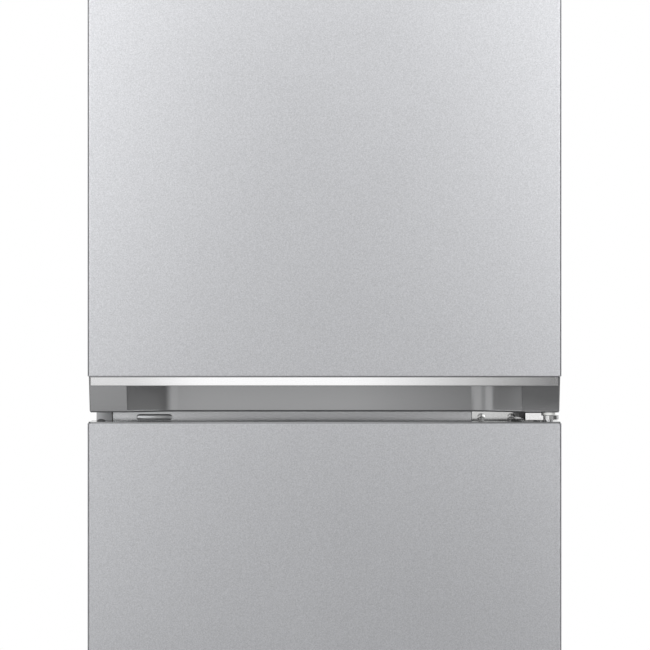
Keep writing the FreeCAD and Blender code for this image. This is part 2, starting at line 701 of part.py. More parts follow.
def middle_rail():
    """Folded channel between the two openings, behind the gap between the doors."""
    piece = body("middle_rail")
    add_box(piece, across("flange_edge"), ("cabinet_front", "cabinet_front + rail_depth"),
            ("rail_bottom", "rail_top"))
    cut_box(piece, across("half_width"),
            ("cabinet_front + pan_sheet", "cabinet_front + rail_depth + overcut"),
            ("rail_bottom + pan_sheet", "rail_top - pan_sheet"))
    cut_screw_holes(piece, "middle")
    return piece


def rail_slot_cover():
    """Snap-in cover over the holes for a hinge on the left."""
    piece = body("rail_slot_cover")
    add_box(piece, ("-slot_cover_x - slot_cover_width / 2", "-slot_cover_x + slot_cover_width / 2"),
            ("cabinet_front - slot_cover_rise", "cabinet_front"),
            ("fitting_level - slot_cover_height / 2", "fitting_level + slot_cover_height / 2"))
    round_edges(piece, "slot_cover_round", lambda edge: runs_along(edge, "y"))
    face_line = value("cabinet_front - slot_cover_rise")
    round_edges(piece, "slot_cover_rise / 2", lambda edge: abs(edge.CenterOfMass.y - face_line) < CLOSE)
    return piece


def fridge_liner():
    """White vacuum-formed box of the fridge space, with ribs that carry the shelves."""
    piece = body("fridge_liner")
    add_box(piece, across("fridge_side + liner_wall"), ("cabinet_front", "fridge_back + liner_wall"),
            ("rail_top", "fridge_ceiling + liner_wall"))
    add_box(piece, across("flange_edge"), ("cabinet_front", "cabinet_front + liner_wall"),
            ("rail_top", "cabinet_top - front_flange - fit"))
    cut_box(piece, across("fridge_side"), ("cabinet_front - overcut", "fridge_back"),
            ("fridge_floor", "fridge_ceiling"))
    cut_box(piece, across("passage_half"), ("passage_front", "passage_back"),
            ("rail_top - overcut", "fridge_floor + overcut"))
    for level in FRIDGE_SHELVES:
        for side in SIDES:
            add_box(piece, beside(side, "fridge_side - shelf_rib", "fridge_side + liner_wall / 2"),
                    ("shelf_front + trim_bar_depth", "shelf_back"), (f"{level} - rib_height", level))
    return piece


def freezer_liner():
    """White vacuum-formed box of the freezer space, stepped over the machine space."""
    piece = body("freezer_liner")
    add_box(piece, across("freezer_side + liner_wall"), ("cabinet_front", "freezer_back + liner_wall"),
            ("step_top - liner_wall", "rail_bottom"))
    add_box(piece, across("freezer_side + liner_wall"), ("cabinet_front", "step_front + liner_wall"),
            ("freezer_floor - liner_wall", "step_top"))
    add_box(piece, across("flange_edge"), ("cabinet_front", "cabinet_front + liner_wall"),
            ("base_lip_top + fit", "rail_bottom"))
    cut_box(piece, across("freezer_side"), ("cabinet_front - overcut", "freezer_back"),
            ("step_top", "freezer_ceiling"))
    cut_box(piece, across("freezer_side"), ("cabinet_front - overcut", "step_front"),
            ("freezer_floor", "step_top + overcut"))
    cut_box(piece, across("passage_half"), ("passage_front", "passage_back"),
            ("freezer_ceiling - overcut", "rail_bottom + overcut"))
    cut_rod(piece, "y", ("suction_x", "freezer_back - overcut", "suction_level"),
            "liner_wall + 2 * overcut", "tube_radius + fit")
    for level in FREEZER_SHELVES:
        for side in SIDES:
            add_box(piece, beside(side, "freezer_side - shelf_rib", "freezer_side + liner_wall / 2"),
                    ("freezer_drawer_front", "step_front"), (f"{level} - rib_height", level))
    return piece


def insulation_foam():
    """Foam that fills the cabinet between the sheet and both liners."""
    piece = body("insulation_foam")
    add_box(piece, across("inner_width"), ("cabinet_front + liner_wall", "foam_back"),
            ("cabinet_bottom + pan_sheet", "cabinet_top - steel_sheet"))
    cut_box(piece, across("fridge_side + liner_wall"), ("cabinet_front", "fridge_back + liner_wall"),
            ("rail_top", "fridge_ceiling + liner_wall"))
    cut_box(piece, across("freezer_side + liner_wall"), ("cabinet_front", "freezer_back + liner_wall"),
            ("step_top - liner_wall", "rail_bottom"))
    cut_box(piece, across("freezer_side + liner_wall"), ("cabinet_front", "step_front + liner_wall"),
            ("freezer_floor - liner_wall", "step_top"))
    cut_box(piece, across("half_width"), ("machine_front - pan_sheet", "back"),
            ("cabinet_bottom", "machine_top + pan_sheet"))
    cut_box(piece, across("half_width"), ("cabinet_front", "cabinet_front + rail_depth"),
            ("rail_bottom", "rail_top"))
    cut_box(piece, across("passage_half"), ("passage_front", "passage_back"),
            ("rail_bottom - overcut", "rail_top + overcut"))
    cut_rod(piece, "y", ("suction_x", "freezer_back", "suction_level"), "freezer_back_wall",
            "tube_radius + fit")
    cut_box(piece, ("suction_x - tube_radius - fit", "suction_x + tube_radius + fit"),
            ("foam_back - tube_bend", "back"), ("suction_level - tube_bend", "suction_level"))
    for side in SIDES:
        cut_rod(piece, "z", (f"{side} * foot_x", "cabinet_front + foot_setback", "cabinet_bottom"),
                "boss_height + overcut", "boss_radius + fit")
    cut_screw_holes(piece, "top")
    cut_screw_holes(piece, "bottom")
    return piece


# Hinges

def top_hinge_bracket():
    """Plate on the cabinet's top with an arm out over the fridge door."""
    piece = body("top_hinge_bracket")
    z = ("cabinet_top", "cabinet_top + hinge_plate")
    add_box(piece, ("hinge_x + top_hinge_end - top_plate_width", "hinge_x + top_hinge_end"),
            ("cabinet_front + plate_inset", "cabinet_front + plate_inset + top_plate_depth"), z)
    add_box(piece, ("hinge_x - top_hinge_end", "hinge_x + top_hinge_end"),
            ("hinge_y", "cabinet_front + plate_inset"), z)
    add_rod(piece, "z", ("hinge_x", "hinge_y", "cabinet_top"), "hinge_plate", "top_hinge_end")
    cut_rod(piece, "z", ("hinge_x", "hinge_y", "cabinet_top - overcut"), "hinge_plate + 2 * overcut",
            "pin_radius + pin_fit")
    cut_screw_holes(piece, "top")
    return piece


def top_hinge_cover():
    """Moulded cover over the top hinge, the highest point of the object."""
    piece = body("top_hinge_cover")
    left = "hinge_x + top_hinge_end - top_plate_width - cover_margin"
    right = "half_width - cover_edge_inset"
    front = "front + cover_margin"
    back = "cabinet_front + plate_inset + top_plate_depth + cover_margin"
    add_box(piece, (left, right), (front, back), ("cabinet_top", "overall_height"))
    round_edges(piece, "cover_round", lambda edge: runs_along(edge, "z"))
    roof = value("overall_height")
    round_edges(piece, "cover_edge_round", lambda edge: abs(edge.CenterOfMass.z - roof) < CLOSE)
    cut_box(piece, (f"{left} + moulding_wall", f"{right} - moulding_wall"),
            (f"{front} + moulding_wall", f"{back} - moulding_wall"),
            ("cabinet_top - overcut", "overall_height - moulding_wall"))
    return piece


def middle_hinge_bracket():
    """Plate on the middle rail with a ribbed arm that carries the pin of both doors."""
    piece = body("middle_hinge_bracket")
    plate_y = ("cabinet_front - hinge_plate", "cabinet_front")
    arm_x = ("hinge_x + hinge_end - arm_width", "hinge_x")
    arm_z = ("middle_arm_bottom", "middle_arm_top")
    add_box(piece, ("middle_plate_left", "hinge_x"), plate_y,
            ("fitting_level - middle_plate_height / 2", "fitting_level + middle_plate_height / 2"))
    add_box(piece, arm_x, ("hinge_y - hinge_end", "cabinet_front"), arm_z)
    add_box(piece, ("hinge_x", "hinge_x + hinge_end"), ("hinge_y", "cabinet_front"), arm_z)
    add_rod(piece, "z", ("hinge_x", "hinge_y", "middle_arm_bottom"), "arm_thickness", "hinge_end")
    add_box(piece, (arm_x[0], f"{arm_x[0]} + arm_rib_width"), ("hinge_y - hinge_end", "cabinet_front"),
            ("middle_arm_top", "middle_arm_top + arm_rib"))
    cut_rod(piece, "z", ("hinge_x", "hinge_y", "middle_arm_bottom - overcut"), "arm_thickness + 2 * overcut",
            "pin_radius + pin_fit")
    cut_screw_holes(piece, "middle")
    return piece


def bottom_hinge_bracket():
    """Plate on the base pan's lip with an arm out under the freezer door."""
    piece = body("bottom_hinge_bracket")
    arm_z = ("bottom_arm_bottom", "bottom_arm_top")
    add_box(piece, ("middle_plate_left", "hinge_x + hinge_end"),
            ("cabinet_front - hinge_plate", "cabinet_front"),
            ("cabinet_bottom + bottom_plate_margin", "base_lip_top - bottom_plate_margin"))
    add_box(piece, ("hinge_x + hinge_end - arm_width", "hinge_x + hinge_end"),
            ("hinge_y", "cabinet_front"), arm_z)
    add_rod(piece, "z", ("hinge_x", "hinge_y", "bottom_arm_bottom"), "arm_thickness", "hinge_end")
    cut_rod(piece, "z", ("hinge_x", "hinge_y", "bottom_arm_bottom - overcut"), "arm_thickness + 2 * overcut",
            "pin_radius + pin_fit")
    cut_screw_holes(piece, "bottom")
    return piece


def hinge_pins():
    """Three steel pins on one line: top, middle (in both doors) and bottom."""
    spans = {
        "top_pin": ("fridge_door_top - pin_reach", "cabinet_top + hinge_plate + pin_head"),
        "middle_pin": ("freezer_door_top - pin_reach", "fridge_door_bottom + pin_reach"),
        "bottom_pin": ("bottom_arm_bottom - pin_head", "freezer_door_bottom + pin_reach"),
    }
    pins = [loose_rod(name, "z", ("hinge_x", "hinge_y", low), f"({high}) - ({low})", "pin_radius")
            for name, (low, high) in spans.items()]
    return group("hinge_pins", pins)


def hinge_screw(name, screw):
    """Pan-head screw with a cross recess, head up in its own frame."""
    piece = body(name)
    turned(piece, [("0", "-screw_length"), ("screw_radius", "-screw_length"), ("screw_radius", "0"),
                   ("screw_head_radius", "0"), ("screw_head_radius", "screw_head / 2"),
                   ("cross_length / 2", "screw_head"), ("0", "screw_head")])
    arms = (across("cross_length / 2"), across("cross_width / 2"))
    for x, y in (arms, arms[::-1]):
        cut_box(piece, x, y, ("screw_head - cross_depth", "screw_head + overcut"))
    if screw[2] == "y":
        piece.Placement = FreeCAD.Placement(FreeCAD.Vector(), FreeCAD.Rotation(FreeCAD.Vector(1, 0, 0), 90))
    place(piece, *screw_seat(screw))
    return piece


def hinge_screws():
    screws = [hinge_screw(f"{hinge}_screw_{n}", screw)
              for hinge, places in SCREW_PLACES.items() for n, screw in enumerate(places, start=1)]
    return group("hinge_screws", screws)


# Feet and rollers

def front_foot(side, label):
    """Adjustable foot: a turned pad with a collar and a threaded stud."""
    piece = body(label)
    turned(piece, [("0", "0"), ("foot_radius", "0"), ("foot_radius", "foot_pad"),
                   ("foot_collar_radius", "foot_pad"), ("foot_collar_radius", "foot_pad + foot_collar"),
                   ("stud_radius", "foot_pad + foot_collar"), ("stud_radius", "cabinet_bottom + stud_reach"),
                   ("0", "cabinet_bottom + stud_reach")])
    place(piece, f"{side} * foot_x", "cabinet_front + foot_setback", "0")
    return piece


def rear_roller(side, label):
    """Plastic roller moulded on its axle, which turns in the tray's ears."""
    piece = body(label)
    x = f"{side} * roller_x"
    y = "back - roller_setback"
    reach = "roller_width / 2 + running_fit + ear_sheet"
    add_rod(piece, "x", (f"{x} - roller_width / 2", y, "roller_radius"), "roller_width", "roller_radius")
    round_edges(piece, "edge_round / 2", lambda edge: edge.Curve.TypeId == "Part::GeomCircle")
    add_rod(piece, "x", (f"{x} - ({reach})", y, "roller_radius"), f"2 * ({reach})", "axle_radius")
    return piece


def compressor_tray():
    """Steel floor of the machine space, with ears for the rear rollers."""
    piece = body("compressor_tray")
    add_box(piece, across("inner_width - fit"), ("machine_front + tray_front_gap", "back - tray_back_gap"),
            ("cabinet_bottom", "tray_top"))
    for side in SIDES:
        for face in SIDES:
            inner = f"{side} * roller_x + {face} * (roller_width / 2 + running_fit)"
            outer = f"{inner} + {face} * ear_sheet"
            add_box(piece, (inner, outer) if face > 0 else (outer, inner),
                    ("back - roller_setback - ear_half", "back - roller_setback + ear_half"),
                    ("roller_radius - ear_drop", "cabinet_bottom"))
        cut_rod(piece, "x", (f"{side} * roller_x - roller_width", "back - roller_setback", "roller_radius"),
                "2 * roller_width", "axle_radius + pin_fit")
    return piece


# Machine space

def compressor():
    """Welded round shell on a foot plate, with stubs for the two tubes."""
    piece = body("compressor")
    rise = "(compressor_height - seam_rise - seam_height)"
    dome = f"(compressor_radius * compressor_radius + {rise} * {rise}) / (2 * {rise})"
    turned(piece, [("0", "shell_bottom"), ("compressor_radius - shell_taper", "shell_bottom"),
                   ("compressor_radius", "shell_bottom + taper_rise"),
                   ("compressor_radius", "shell_bottom + seam_rise"),
                   ("compressor_radius + seam_reach", "shell_bottom + seam_rise"),
                   ("compressor_radius + seam_reach", "shell_bottom + seam_rise + seam_height"),
                   ("compressor_radius", "shell_bottom + seam_rise + seam_height", dome, 1),
                   ("0", "shell_top")])
    half = "compressor_plate_half"
    add_box(piece, across(half), across(half), ("tray_top", "shell_bottom"))
    for side in SIDES:
        add_rod(piece, "x", ("-stub_reach", f"{side} * stub_offset", "shell_bottom + stub_rise"),
                "stub_reach / 2", "stub_radius")
    place(piece, "compressor_x", "compressor_y", "0")
    return piece


def drip_tray():
    """Open tray on the compressor, where defrost water dries off."""
    piece = body("drip_tray")
    add_box(piece, ("compressor_x - drip_tray_half", "compressor_x + drip_tray_half"),
            ("compressor_y - drip_tray_depth / 2", "compressor_y + drip_tray_depth / 2"),
            ("shell_top + running_fit", "shell_top + running_fit + drip_tray_height"))
    round_edges(piece, "edge_round", lambda edge: runs_along(edge, "z"))
    hollow(piece, "liner_wall", faces_along("z", 1))
    return piece


def machine_cover():
    """Louvred sheet that closes the machine space at the back."""
    piece = body("machine_cover")
    middle = "(cabinet_bottom + machine_top) / 2"
    add_box(piece, across("inner_width - fit"), ("back - steel_sheet", "back"),
            ("cabinet_bottom + fit", "machine_top - fit"))
    slot = cut_box(piece, ("-louvre_span / 2 - louvre_width / 2", "-louvre_span / 2 + louvre_width / 2"),
                   ("back - steel_sheet - overcut", "back + overcut"),
                   (f"{middle} - louvre_height / 2", f"{middle} + louvre_height / 2"))
    row_of(piece, slot, "X_Axis", "louvre_span", MACHINE_LOUVRES)
    cut_rod(piece, "y", ("inlet_x", "back - steel_sheet - overcut", "cabinet_bottom + inlet_rise"),
            "steel_sheet + 2 * overcut", "inlet_radius + pin_fit")
    return piece


def mains_inlet():
    """Gland in the machine cover where a supply cord enters, flush with the back."""
    piece = body("mains_inlet")
    centre = ("inlet_x", "back - inlet_depth", "cabinet_bottom + inlet_rise")
    add_rod(piece, "y", centre, "inlet_depth", "inlet_radius")
    add_rod(piece, "y", centre, "inlet_depth - steel_sheet", "inlet_radius + moulding_wall")
    cut_rod(piece, "y", ("inlet_x", "back - inlet_depth - overcut", "cabinet_bottom + inlet_rise"),
            "inlet_depth + 2 * overcut", "inlet_bore")
    return piece


def bent_path(points, radius):
    """Straight runs joined by arcs of one radius."""
    edges = []
    start = points[0]
    for corner, after in zip(points[1:-1], points[2:]):
        inward = (corner - start).normalize()
        outward = (after - corner).normalize()
        half_turn = inward.getAngle(outward) / 2
        reach = radius * math.tan(half_turn)
        arc_start = corner - inward * reach
        arc_end = corner + outward * reach
        bulge = (outward - inward).normalize()
        middle = corner + bulge * radius * (1 / math.cos(half_turn) - 1)
        edges.append(Part.LineSegment(start, arc_start).toShape())
        edges.append(Part.Arc(arc_start, middle, arc_end).toShape())
        start = arc_end
    edges.append(Part.LineSegment(start, points[-1]).toShape())
    return Part.Wire(edges)


def tube(name, route):
    """A bent tube along a route of points written in sizes and places."""
    points = [FreeCAD.Vector(*(value(axis) for axis in point)) for point in route]
    section = Part.Wire(Part.makeCircle(value("tube_radius"), points[0], points[1] - points[0]))
    piece = document.addObject("Part::Feature", name)
    piece.Shape = bent_path(points, value("tube_bend")).makePipeShell([section], True, False)
    return piece


def refrigerant_tubes():
    """Discharge tube and condenser behind the back panel, its filter drier, and the suction line."""
    stub_level = "shell_bottom + stub_rise"
    stub_end = "compressor_x - stub_reach"
    high_side = "compressor_y + stub_offset"
    low_side = "compressor_y - stub_offset"
    condenser = [(stub_end, high_side, stub_level), ("riser_x", high_side, stub_level),
                 ("riser_x", "tube_line", stub_level), ("riser_x", "tube_line", "condenser_bottom")]
    edge = "-condenser_half"
    pitch = f"(condenser_top - condenser_bottom) / {CONDENSER_RUNS - 1}"
    for run in range(CONDENSER_RUNS):
        level = f"condenser_bottom + {run} * {pitch}"
        condenser.append((edge, "tube_line", level))
        edge = "condenser_half" if edge.startswith("-") else "-condenser_half"
        if run < CONDENSER_RUNS - 1:
            condenser.append((condenser[-1][0], "tube_line", f"{level} + {pitch}"))
    condenser[-1] = ("return_x", "tube_line", "condenser_top")
    condenser.append(("return_x", "tube_line", "drier_level"))
    suction = [(stub_end, low_side, stub_level), ("suction_x", low_side, stub_level),
               ("suction_x", "tube_line", stub_level), ("suction_x", "tube_line", "suction_level"),
               ("suction_x", "evaporator_back", "suction_level")]
    drier = loose_rod("filter_drier", "z", ("return_x", "back - steel_sheet - fit - drier_radius",
                      "drier_level - drier_length"), "drier_length", "drier_radius")
    return group("refrigerant_tubes", [tube("condenser", condenser), tube("suction_line", suction), drier])


# Air path

def freezer_air_panel():
    """Moulded panel across the back of the freezer, with the fan opening and outlets."""
    piece = body("freezer_air_panel")
    y = ("panel_front", "panel_back")
    through = ("panel_front - overcut", "panel_back + overcut")
    add_box(piece, across("freezer_side - fit"), y, ("step_top + fit", "freezer_ceiling - fit"))
    cut_rod(piece, "y", ("0", "panel_front - overcut", "fan_level"), "moulding_wall + 2 * overcut",
            "fan_opening")
    for bottom, height in (("step_top + glass", "middle_drawer_height"),
                           ("upper_freezer_shelf + glass", "top_drawer_height")):
        top = f"{bottom} + {height} - panel_slot_drop"
        for side in SIDES:
            cut_box(piece, beside(side, "panel_slot_half", "2 * panel_slot_half"), through,
                    (f"{top} - panel_slot_height", top))
    return piece


def evaporator():
    """Finned tube coil between two end plates, which also hold the heater."""
    piece = body("evaporator")
    y = ("evaporator_front", "evaporator_back")
    for side in SIDES:
        add_box(piece, beside(side, "evaporator_half - end_sheet", "evaporator_half"), y,
                ("heater_level - 2 * heater_radius", "evaporator_top"))
        for row in range(EVAPORATOR_ROWS):
            level = f"evaporator_bottom + ({row} + 0.5) * coil_pitch"
            depth = f"heater_y + {side} * coil_pitch / 2"
            add_rod(piece, "x", ("-evaporator_half", depth, level), "2 * evaporator_half", "coil_radius")
    gap = f"(2 * evaporator_half - 2 * end_sheet) / ({EVAPORATOR_FINS} + 1)"
    first = f"-evaporator_half + end_sheet + {gap}"
    fin = add_box(piece, (f"{first} - fin_sheet / 2", f"{first} + fin_sheet / 2"), y,
                  ("evaporator_bottom", "evaporator_top"))
    row_of(piece, fin, "X_Axis", f"{gap} * ({EVAPORATOR_FINS} - 1)", EVAPORATOR_FINS)
    for side in SIDES:
        cut_rod(piece, "x", (f"{side} * evaporator_half - 2 * end_sheet", "heater_y", "heater_level"),
                "4 * end_sheet", "heater_radius + pin_fit")
    return piece


def defrost_heater():
    """Straight sheathed heater under the fins, held in the end plates."""
    piece = body("defrost_heater")
    add_rod(piece, "x", ("-evaporator_half - heater_radius", "heater_y", "heater_level"),
            "2 * evaporator_half + 2 * heater_radius", "heater_radius")
    return piece


def fan_motor():
    """Motor behind the fan, on four arms that stand on the air panel."""
    piece = body("fan_motor")
    add_rod(piece, "y", ("0", "motor_front", "fan_level"), "motor_length", "motor_radius")
    arm_y = ("motor_front + motor_arm", "motor_front + 2 * motor_arm")
    for side in SIDES:
        arm = beside(side, "motor_radius / 2", "motor_arm_reach")
        foot = beside(side, "motor_arm_reach - motor_arm", "motor_arm_reach")
        foot_y = ("panel_back", arm_y[1])
        add_box(piece, arm, arm_y, ("fan_level - motor_arm", "fan_level + motor_arm"))
        add_box(piece, foot, foot_y, ("fan_level - motor_arm", "fan_level + motor_arm"))
        upright = tuple(f"fan_level + {edge}" for edge in arm)
        upright_foot = tuple(f"fan_level + {edge}" for edge in foot)
        add_box(piece, across("motor_arm"), arm_y, upright)
        add_box(piece, across("motor_arm"), foot_y, upright_foot)
    add_rod(piece, "y", ("0", "fan_front + shaft_setback", "fan_level"), "fan_length", "shaft_radius")
    return piece


def evaporator_fan():
    """Hub with pitched blades, made about its own Z axis and turned to face the freezer."""
    piece = body("evaporator_fan")
    add_rod(piece, "z", ("0", "0", "0"), "fan_length", "fan_hub_radius")
    blade = piece.newObject("PartDesign::AdditiveBox", "Blade")
    pitch = FreeCAD.Rotation(FreeCAD.Vector(1, 0, 0), value("blade_pitch"))
    blade.Placement = FreeCAD.Placement(FreeCAD.Vector(), pitch)
    blade.setExpression("Length", bound("fan_radius - fan_hub_radius / 2"))
    blade.setExpression("Width", bound("blade_chord"))
    blade.setExpression("Height", bound("blade_sheet"))
    place(blade, "fan_hub_radius / 2", "-blade_chord / 2", "fan_length / 4")
    ring_of(piece, blade, FAN_BLADES)
    cut_rod(piece, "z", ("0", "0", "shaft_setback - fit"), "fan_length", "shaft_radius + pin_fit")
    piece.Placement = FreeCAD.Placement(FreeCAD.Vector(), ROD_TURNS["y"])
    place(piece, "0", "fan_front", "fan_level")
    return piece


def fridge_air_duct():
    """Upright channel on the back of the fridge, with outlets at each shelf and the damper's frame."""
    piece = body("fridge_air_duct")
    front_wall = "duct_front + liner_wall"
    add_box(piece, across("duct_half"), ("duct_front", "fridge_back"),
            ("fridge_floor", "fridge_ceiling - duct_top_gap"))
    cut_box(piece, across("duct_half - liner_wall"), (front_wall, "fridge_back + overcut"),
            ("duct_floor", "fridge_ceiling - duct_top_gap - liner_wall"))
    cut_box(piece, across("passage_half"), ("passage_front", "passage_back"),
            ("fridge_floor - overcut", "duct_floor + overcut"))
    for level in FRIDGE_SHELVES:
        bottom = f"{level} + duct_slot_rise"
        for side in SIDES:
            cut_box(piece, beside(side, "duct_slot_inner", "duct_slot_outer"),
                    ("duct_front - overcut", f"{front_wall} + overcut"),
                    (bottom, f"{bottom} + duct_slot_height"))
    ear = "passage_half + flap_margin + running_fit"
    for side in SIDES:
        add_box(piece, beside(side, ear, f"{ear} + liner_wall"),
                ("passage_back - pivot_ear", "passage_back + pivot_ear"),
                ("duct_floor", "flap_level + pivot_ear"))
        cut_rod(piece, "x", (f"{side} * ({ear} + liner_wall / 2) - liner_wall",
                             "passage_back + pivot_radius / 2", "flap_level"),
                "2 * liner_wall", "pivot_radius + pin_fit")
    return piece


def damper_flap():
    """Flap over the air passage, on a pivot along its back edge."""
    piece = body("damper_flap")
    half = "passage_half + flap_margin"
    reach = f"{half} + running_fit + liner_wall"
    add_box(piece, across(half), ("passage_front - flap_margin", "passage_back + pivot_radius / 2"),
            ("flap_level - flap_sheet / 2", "flap_level + flap_sheet / 2"))
    add_rod(piece, "x", (f"-({reach})", "passage_back + pivot_radius / 2", "flap_level"), f"2 * ({reach})",
            "pivot_radius")
    return piece


# Inside the compartments

def glass_shelves():
    """Toughened glass plates: four in the fridge, two in the freezer."""
    plates = [loose_box(f"fridge_glass_{n}", across("shelf_half"), ("shelf_front", "shelf_back"),
                        (level, f"{level} + glass"))
              for n, level in enumerate(FRIDGE_SHELVES, start=1)]
    plates += [loose_box(f"freezer_glass_{n}", across("freezer_glass_half"),
                         ("freezer_drawer_front", "panel_front - shelf_back_gap"),
                         (level, f"{level} + glass"))
               for n, level in enumerate(FREEZER_SHELVES, start=1)]
    return group("glass_shelves", plates)


def shelf_trim(name, level):
    """Grooved bar pushed on to the front edge of a fridge shelf."""
    piece = body(name)
    add_box(piece, across("shelf_half"), ("shelf_front - trim_bar", "shelf_front + trim_bar_depth"),
            (f"{level} - trim_bar", f"{level} + glass + trim_bar"))
    bar_front = value("shelf_front - trim_bar")
    round_edges(piece, "trim_bar / 2",
                lambda edge: runs_along(edge, "x") and abs(edge.CenterOfMass.y - bar_front) < CLOSE)
    cut_box(piece, across("half_width"), ("shelf_front", "shelf_front + trim_bar_depth + overcut"),
            (level, f"{level} + glass"))
    return piece


def shelf_trims():
    return group("shelf_trims", [shelf_trim(f"shelf_trim_{n}", level)
                                 for n, level in enumerate(FRIDGE_SHELVES, start=1)])


def drawer(label, half, y, bottom, height):
    """Clear moulded tray with rounded corners and a handle lip along its front."""
    piece = body(label)
    top = f"{bottom} + {height}"
    add_box(piece, across(half), y, (bottom, top))
    round_edges(piece, "drawer_round", lambda edge: runs_along(edge, "z"))
    floor = value(bottom)
    round_edges(piece, "drawer_round / 2", lambda edge: abs(edge.CenterOfMass.z - floor) < CLOSE)
    hollow(piece, "drawer_wall", faces_along("z", 1))
    add_box(piece, across("drawer_lip_half"), (f"{y[0]} - drawer_lip", f"{y[0]} + drawer_wall / 2"),
            (f"{top} - 2 * drawer_lip_sheet", f"{top} - drawer_lip_sheet"))
    return piece


def crisper_drawer():
    return drawer("crisper_drawer", "crisper_half", ("shelf_front", "duct_front - drawer_back_gap"),
                  "crisper_bottom", "crisper_height")


def bottom_freezer_drawer():
    return drawer("bottom_freezer_drawer", "freezer_drawer_half",
                  ("freezer_drawer_front", "step_front - drawer_back_gap"),
                  "freezer_floor + running_fit", "bottom_drawer_height")


def upper_freezer_drawers():
    y = ("freezer_drawer_front", "panel_front - drawer_back_gap")
    return [drawer(f"{name}_freezer_drawer", "freezer_drawer_half", y,
                   f"{shelf} + glass + running_fit", f"{name}_drawer_height")
            for name, shelf in zip(("middle", "top"), FREEZER_SHELVES)]


def control_panel():
    """Touch panel housing under the fridge ceiling, with a shallow window."""
    piece = body("control_panel")
    bottom = "fridge_ceiling - control_height"
    middle = "control_front + control_depth / 2"
    add_box(piece, across("control_half"), ("control_front", "control_front + control_depth"),
            (bottom, "fridge_ceiling"))
    round_edges(piece, "edge_round", lambda edge: runs_along(edge, "z"))
    cut_box(piece, across("control_window"),
            (f"{middle} - control_window_depth / 2", f"{middle} + control_window_depth / 2"),
            (f"{bottom} - overcut", f"{bottom} + steel_sheet"))
    return piece


def ceiling_light_lens():
    """Clear cover over the ceiling light, open towards the ceiling."""
    piece = body("ceiling_light_lens")
    add_box(piece, across("lens_half"), ("lens_front", "lens_front + lens_depth"),
            ("fridge_ceiling - lens_height", "fridge_ceiling"))
    round_edges(piece, "edge_round", lambda edge: runs_along(edge, "z"))
    hollow(piece, "liner_wall", faces_along("z", 1))
    return piece


# Doors

def door_skin(label, bottom, top):
    """Steel front folded back along both sides, with rounded upright edges."""
    piece = body(label)
    add_box(piece, across("half_width"), ("front", "door_back"), (bottom, top))
    face_line = value("front")
    round_edges(piece, "door_edge_radius",
                lambda edge: runs_along(edge, "z") and abs(edge.CenterOfMass.y - face_line) < CLOSE)
    open_faces = [faces_along("z", 1), faces_along("z", -1), faces_along("y", 1)]
    hollow(piece, "steel_sheet", lambda face: any(test(face) for test in open_faces))
    return piece


def door_filling(label, inset, bottom, top):
    """A block inside the skin, with its front corners rounded clear of the folds."""
    piece = body(label)
    add_box(piece, across(f"inner_width - {inset}"),
            (f"front + steel_sheet + {inset}", "grip_back"), (bottom, top))
    face_line = value(f"front + steel_sheet + {inset}")
    round_edges(piece, "door_edge_radius",
                lambda edge: runs_along(edge, "z") and abs(edge.CenterOfMass.y - face_line) < CLOSE)
    return piece


def cut_bush_seat(piece, bottom, length="bush_length"):
    cut_rod(piece, "z", ("hinge_x", "hinge_y", bottom), length, "bush_radius + pin_fit")


def fridge_door_skin():
    return door_skin("fridge_door_skin", "grip_top", "fridge_door_top")


def fridge_door_foam():
    return door_filling("fridge_door_foam", "0", "grip_top", "fridge_door_top - cap_depth")


def fridge_door_top_cap():
    piece = door_filling("fridge_door_top_cap", "fit", "fridge_door_top - cap_depth",
                         "fridge_door_top - fit")
    cut_box(piece, across("hinge_x - 2 * bush_radius"),
            ("front + 2 * moulding_wall", "grip_back - moulding_wall"),
            ("fridge_door_top - cap_depth - overcut", "fridge_door_top - fit - moulding_wall"))
    cut_bush_seat(piece, "fridge_door_top - bush_length", "bush_length + overcut")
    return piece


def handle_grip():
    """Dark moulding that closes the fridge door below, its finger recess open to the front and below."""
    piece = body("handle_grip")
    section = outline(piece, "YZ_Plane", [
        ("front + grip_top_setback", "grip_top"), ("front + grip_bottom_setback", "fridge_door_bottom"),
        ("grip_back", "fridge_door_bottom"), ("grip_back", "grip_top")])
    pad(piece, section, "overall_width - 2 * grip_end_inset")
    middle_y = value("front + (grip_top_setback + grip_bottom_setback) / 2")
    end_x = value("half_width - grip_end_inset")
    round_edges(piece, "grip_end_round", lambda edge: abs(edge.CenterOfMass.y - middle_y) < CLOSE
                and abs(abs(edge.CenterOfMass.x) - end_x) < CLOSE)
    cut_box(piece, across("half_width - trim_inset"), ("front", "front + trim_seat"),
            ("trim_bottom", "trim_top"))
    depth = "(recess_back - recess_step)"
    bend = f"(recess_curve * recess_curve + {depth} * {depth}) / (2 * {depth})"
    plan = outline(piece, "XY_Plane", [
        ("-recess_half", "front"), ("recess_half", "front"), ("recess_half", "front + recess_step", bend, 1),
        ("recess_half - recess_curve", "front + recess_back"),
        ("recess_curve - recess_half", "front + recess_back", bend, 1),
        ("-recess_half", "front + recess_step")], height="recess_top")
    pocket(piece, plan, "recess_top - fridge_door_bottom + overcut")
    cut_box(piece, across("recess_half - recess_curve"), ("front + undercut_front", "front + recess_back"),
            ("recess_top - overcut", "recess_top + undercut_height"))
    cut_box(piece, across("hinge_x - 2 * bush_radius"),
            ("front + recess_back + moulding_wall", "grip_back - moulding_wall"),
            ("fridge_door_bottom + moulding_wall", "grip_top + overcut"))
    cut_bush_seat(piece, "fridge_door_bottom - overcut", "bush_length + overcut")
    return piece


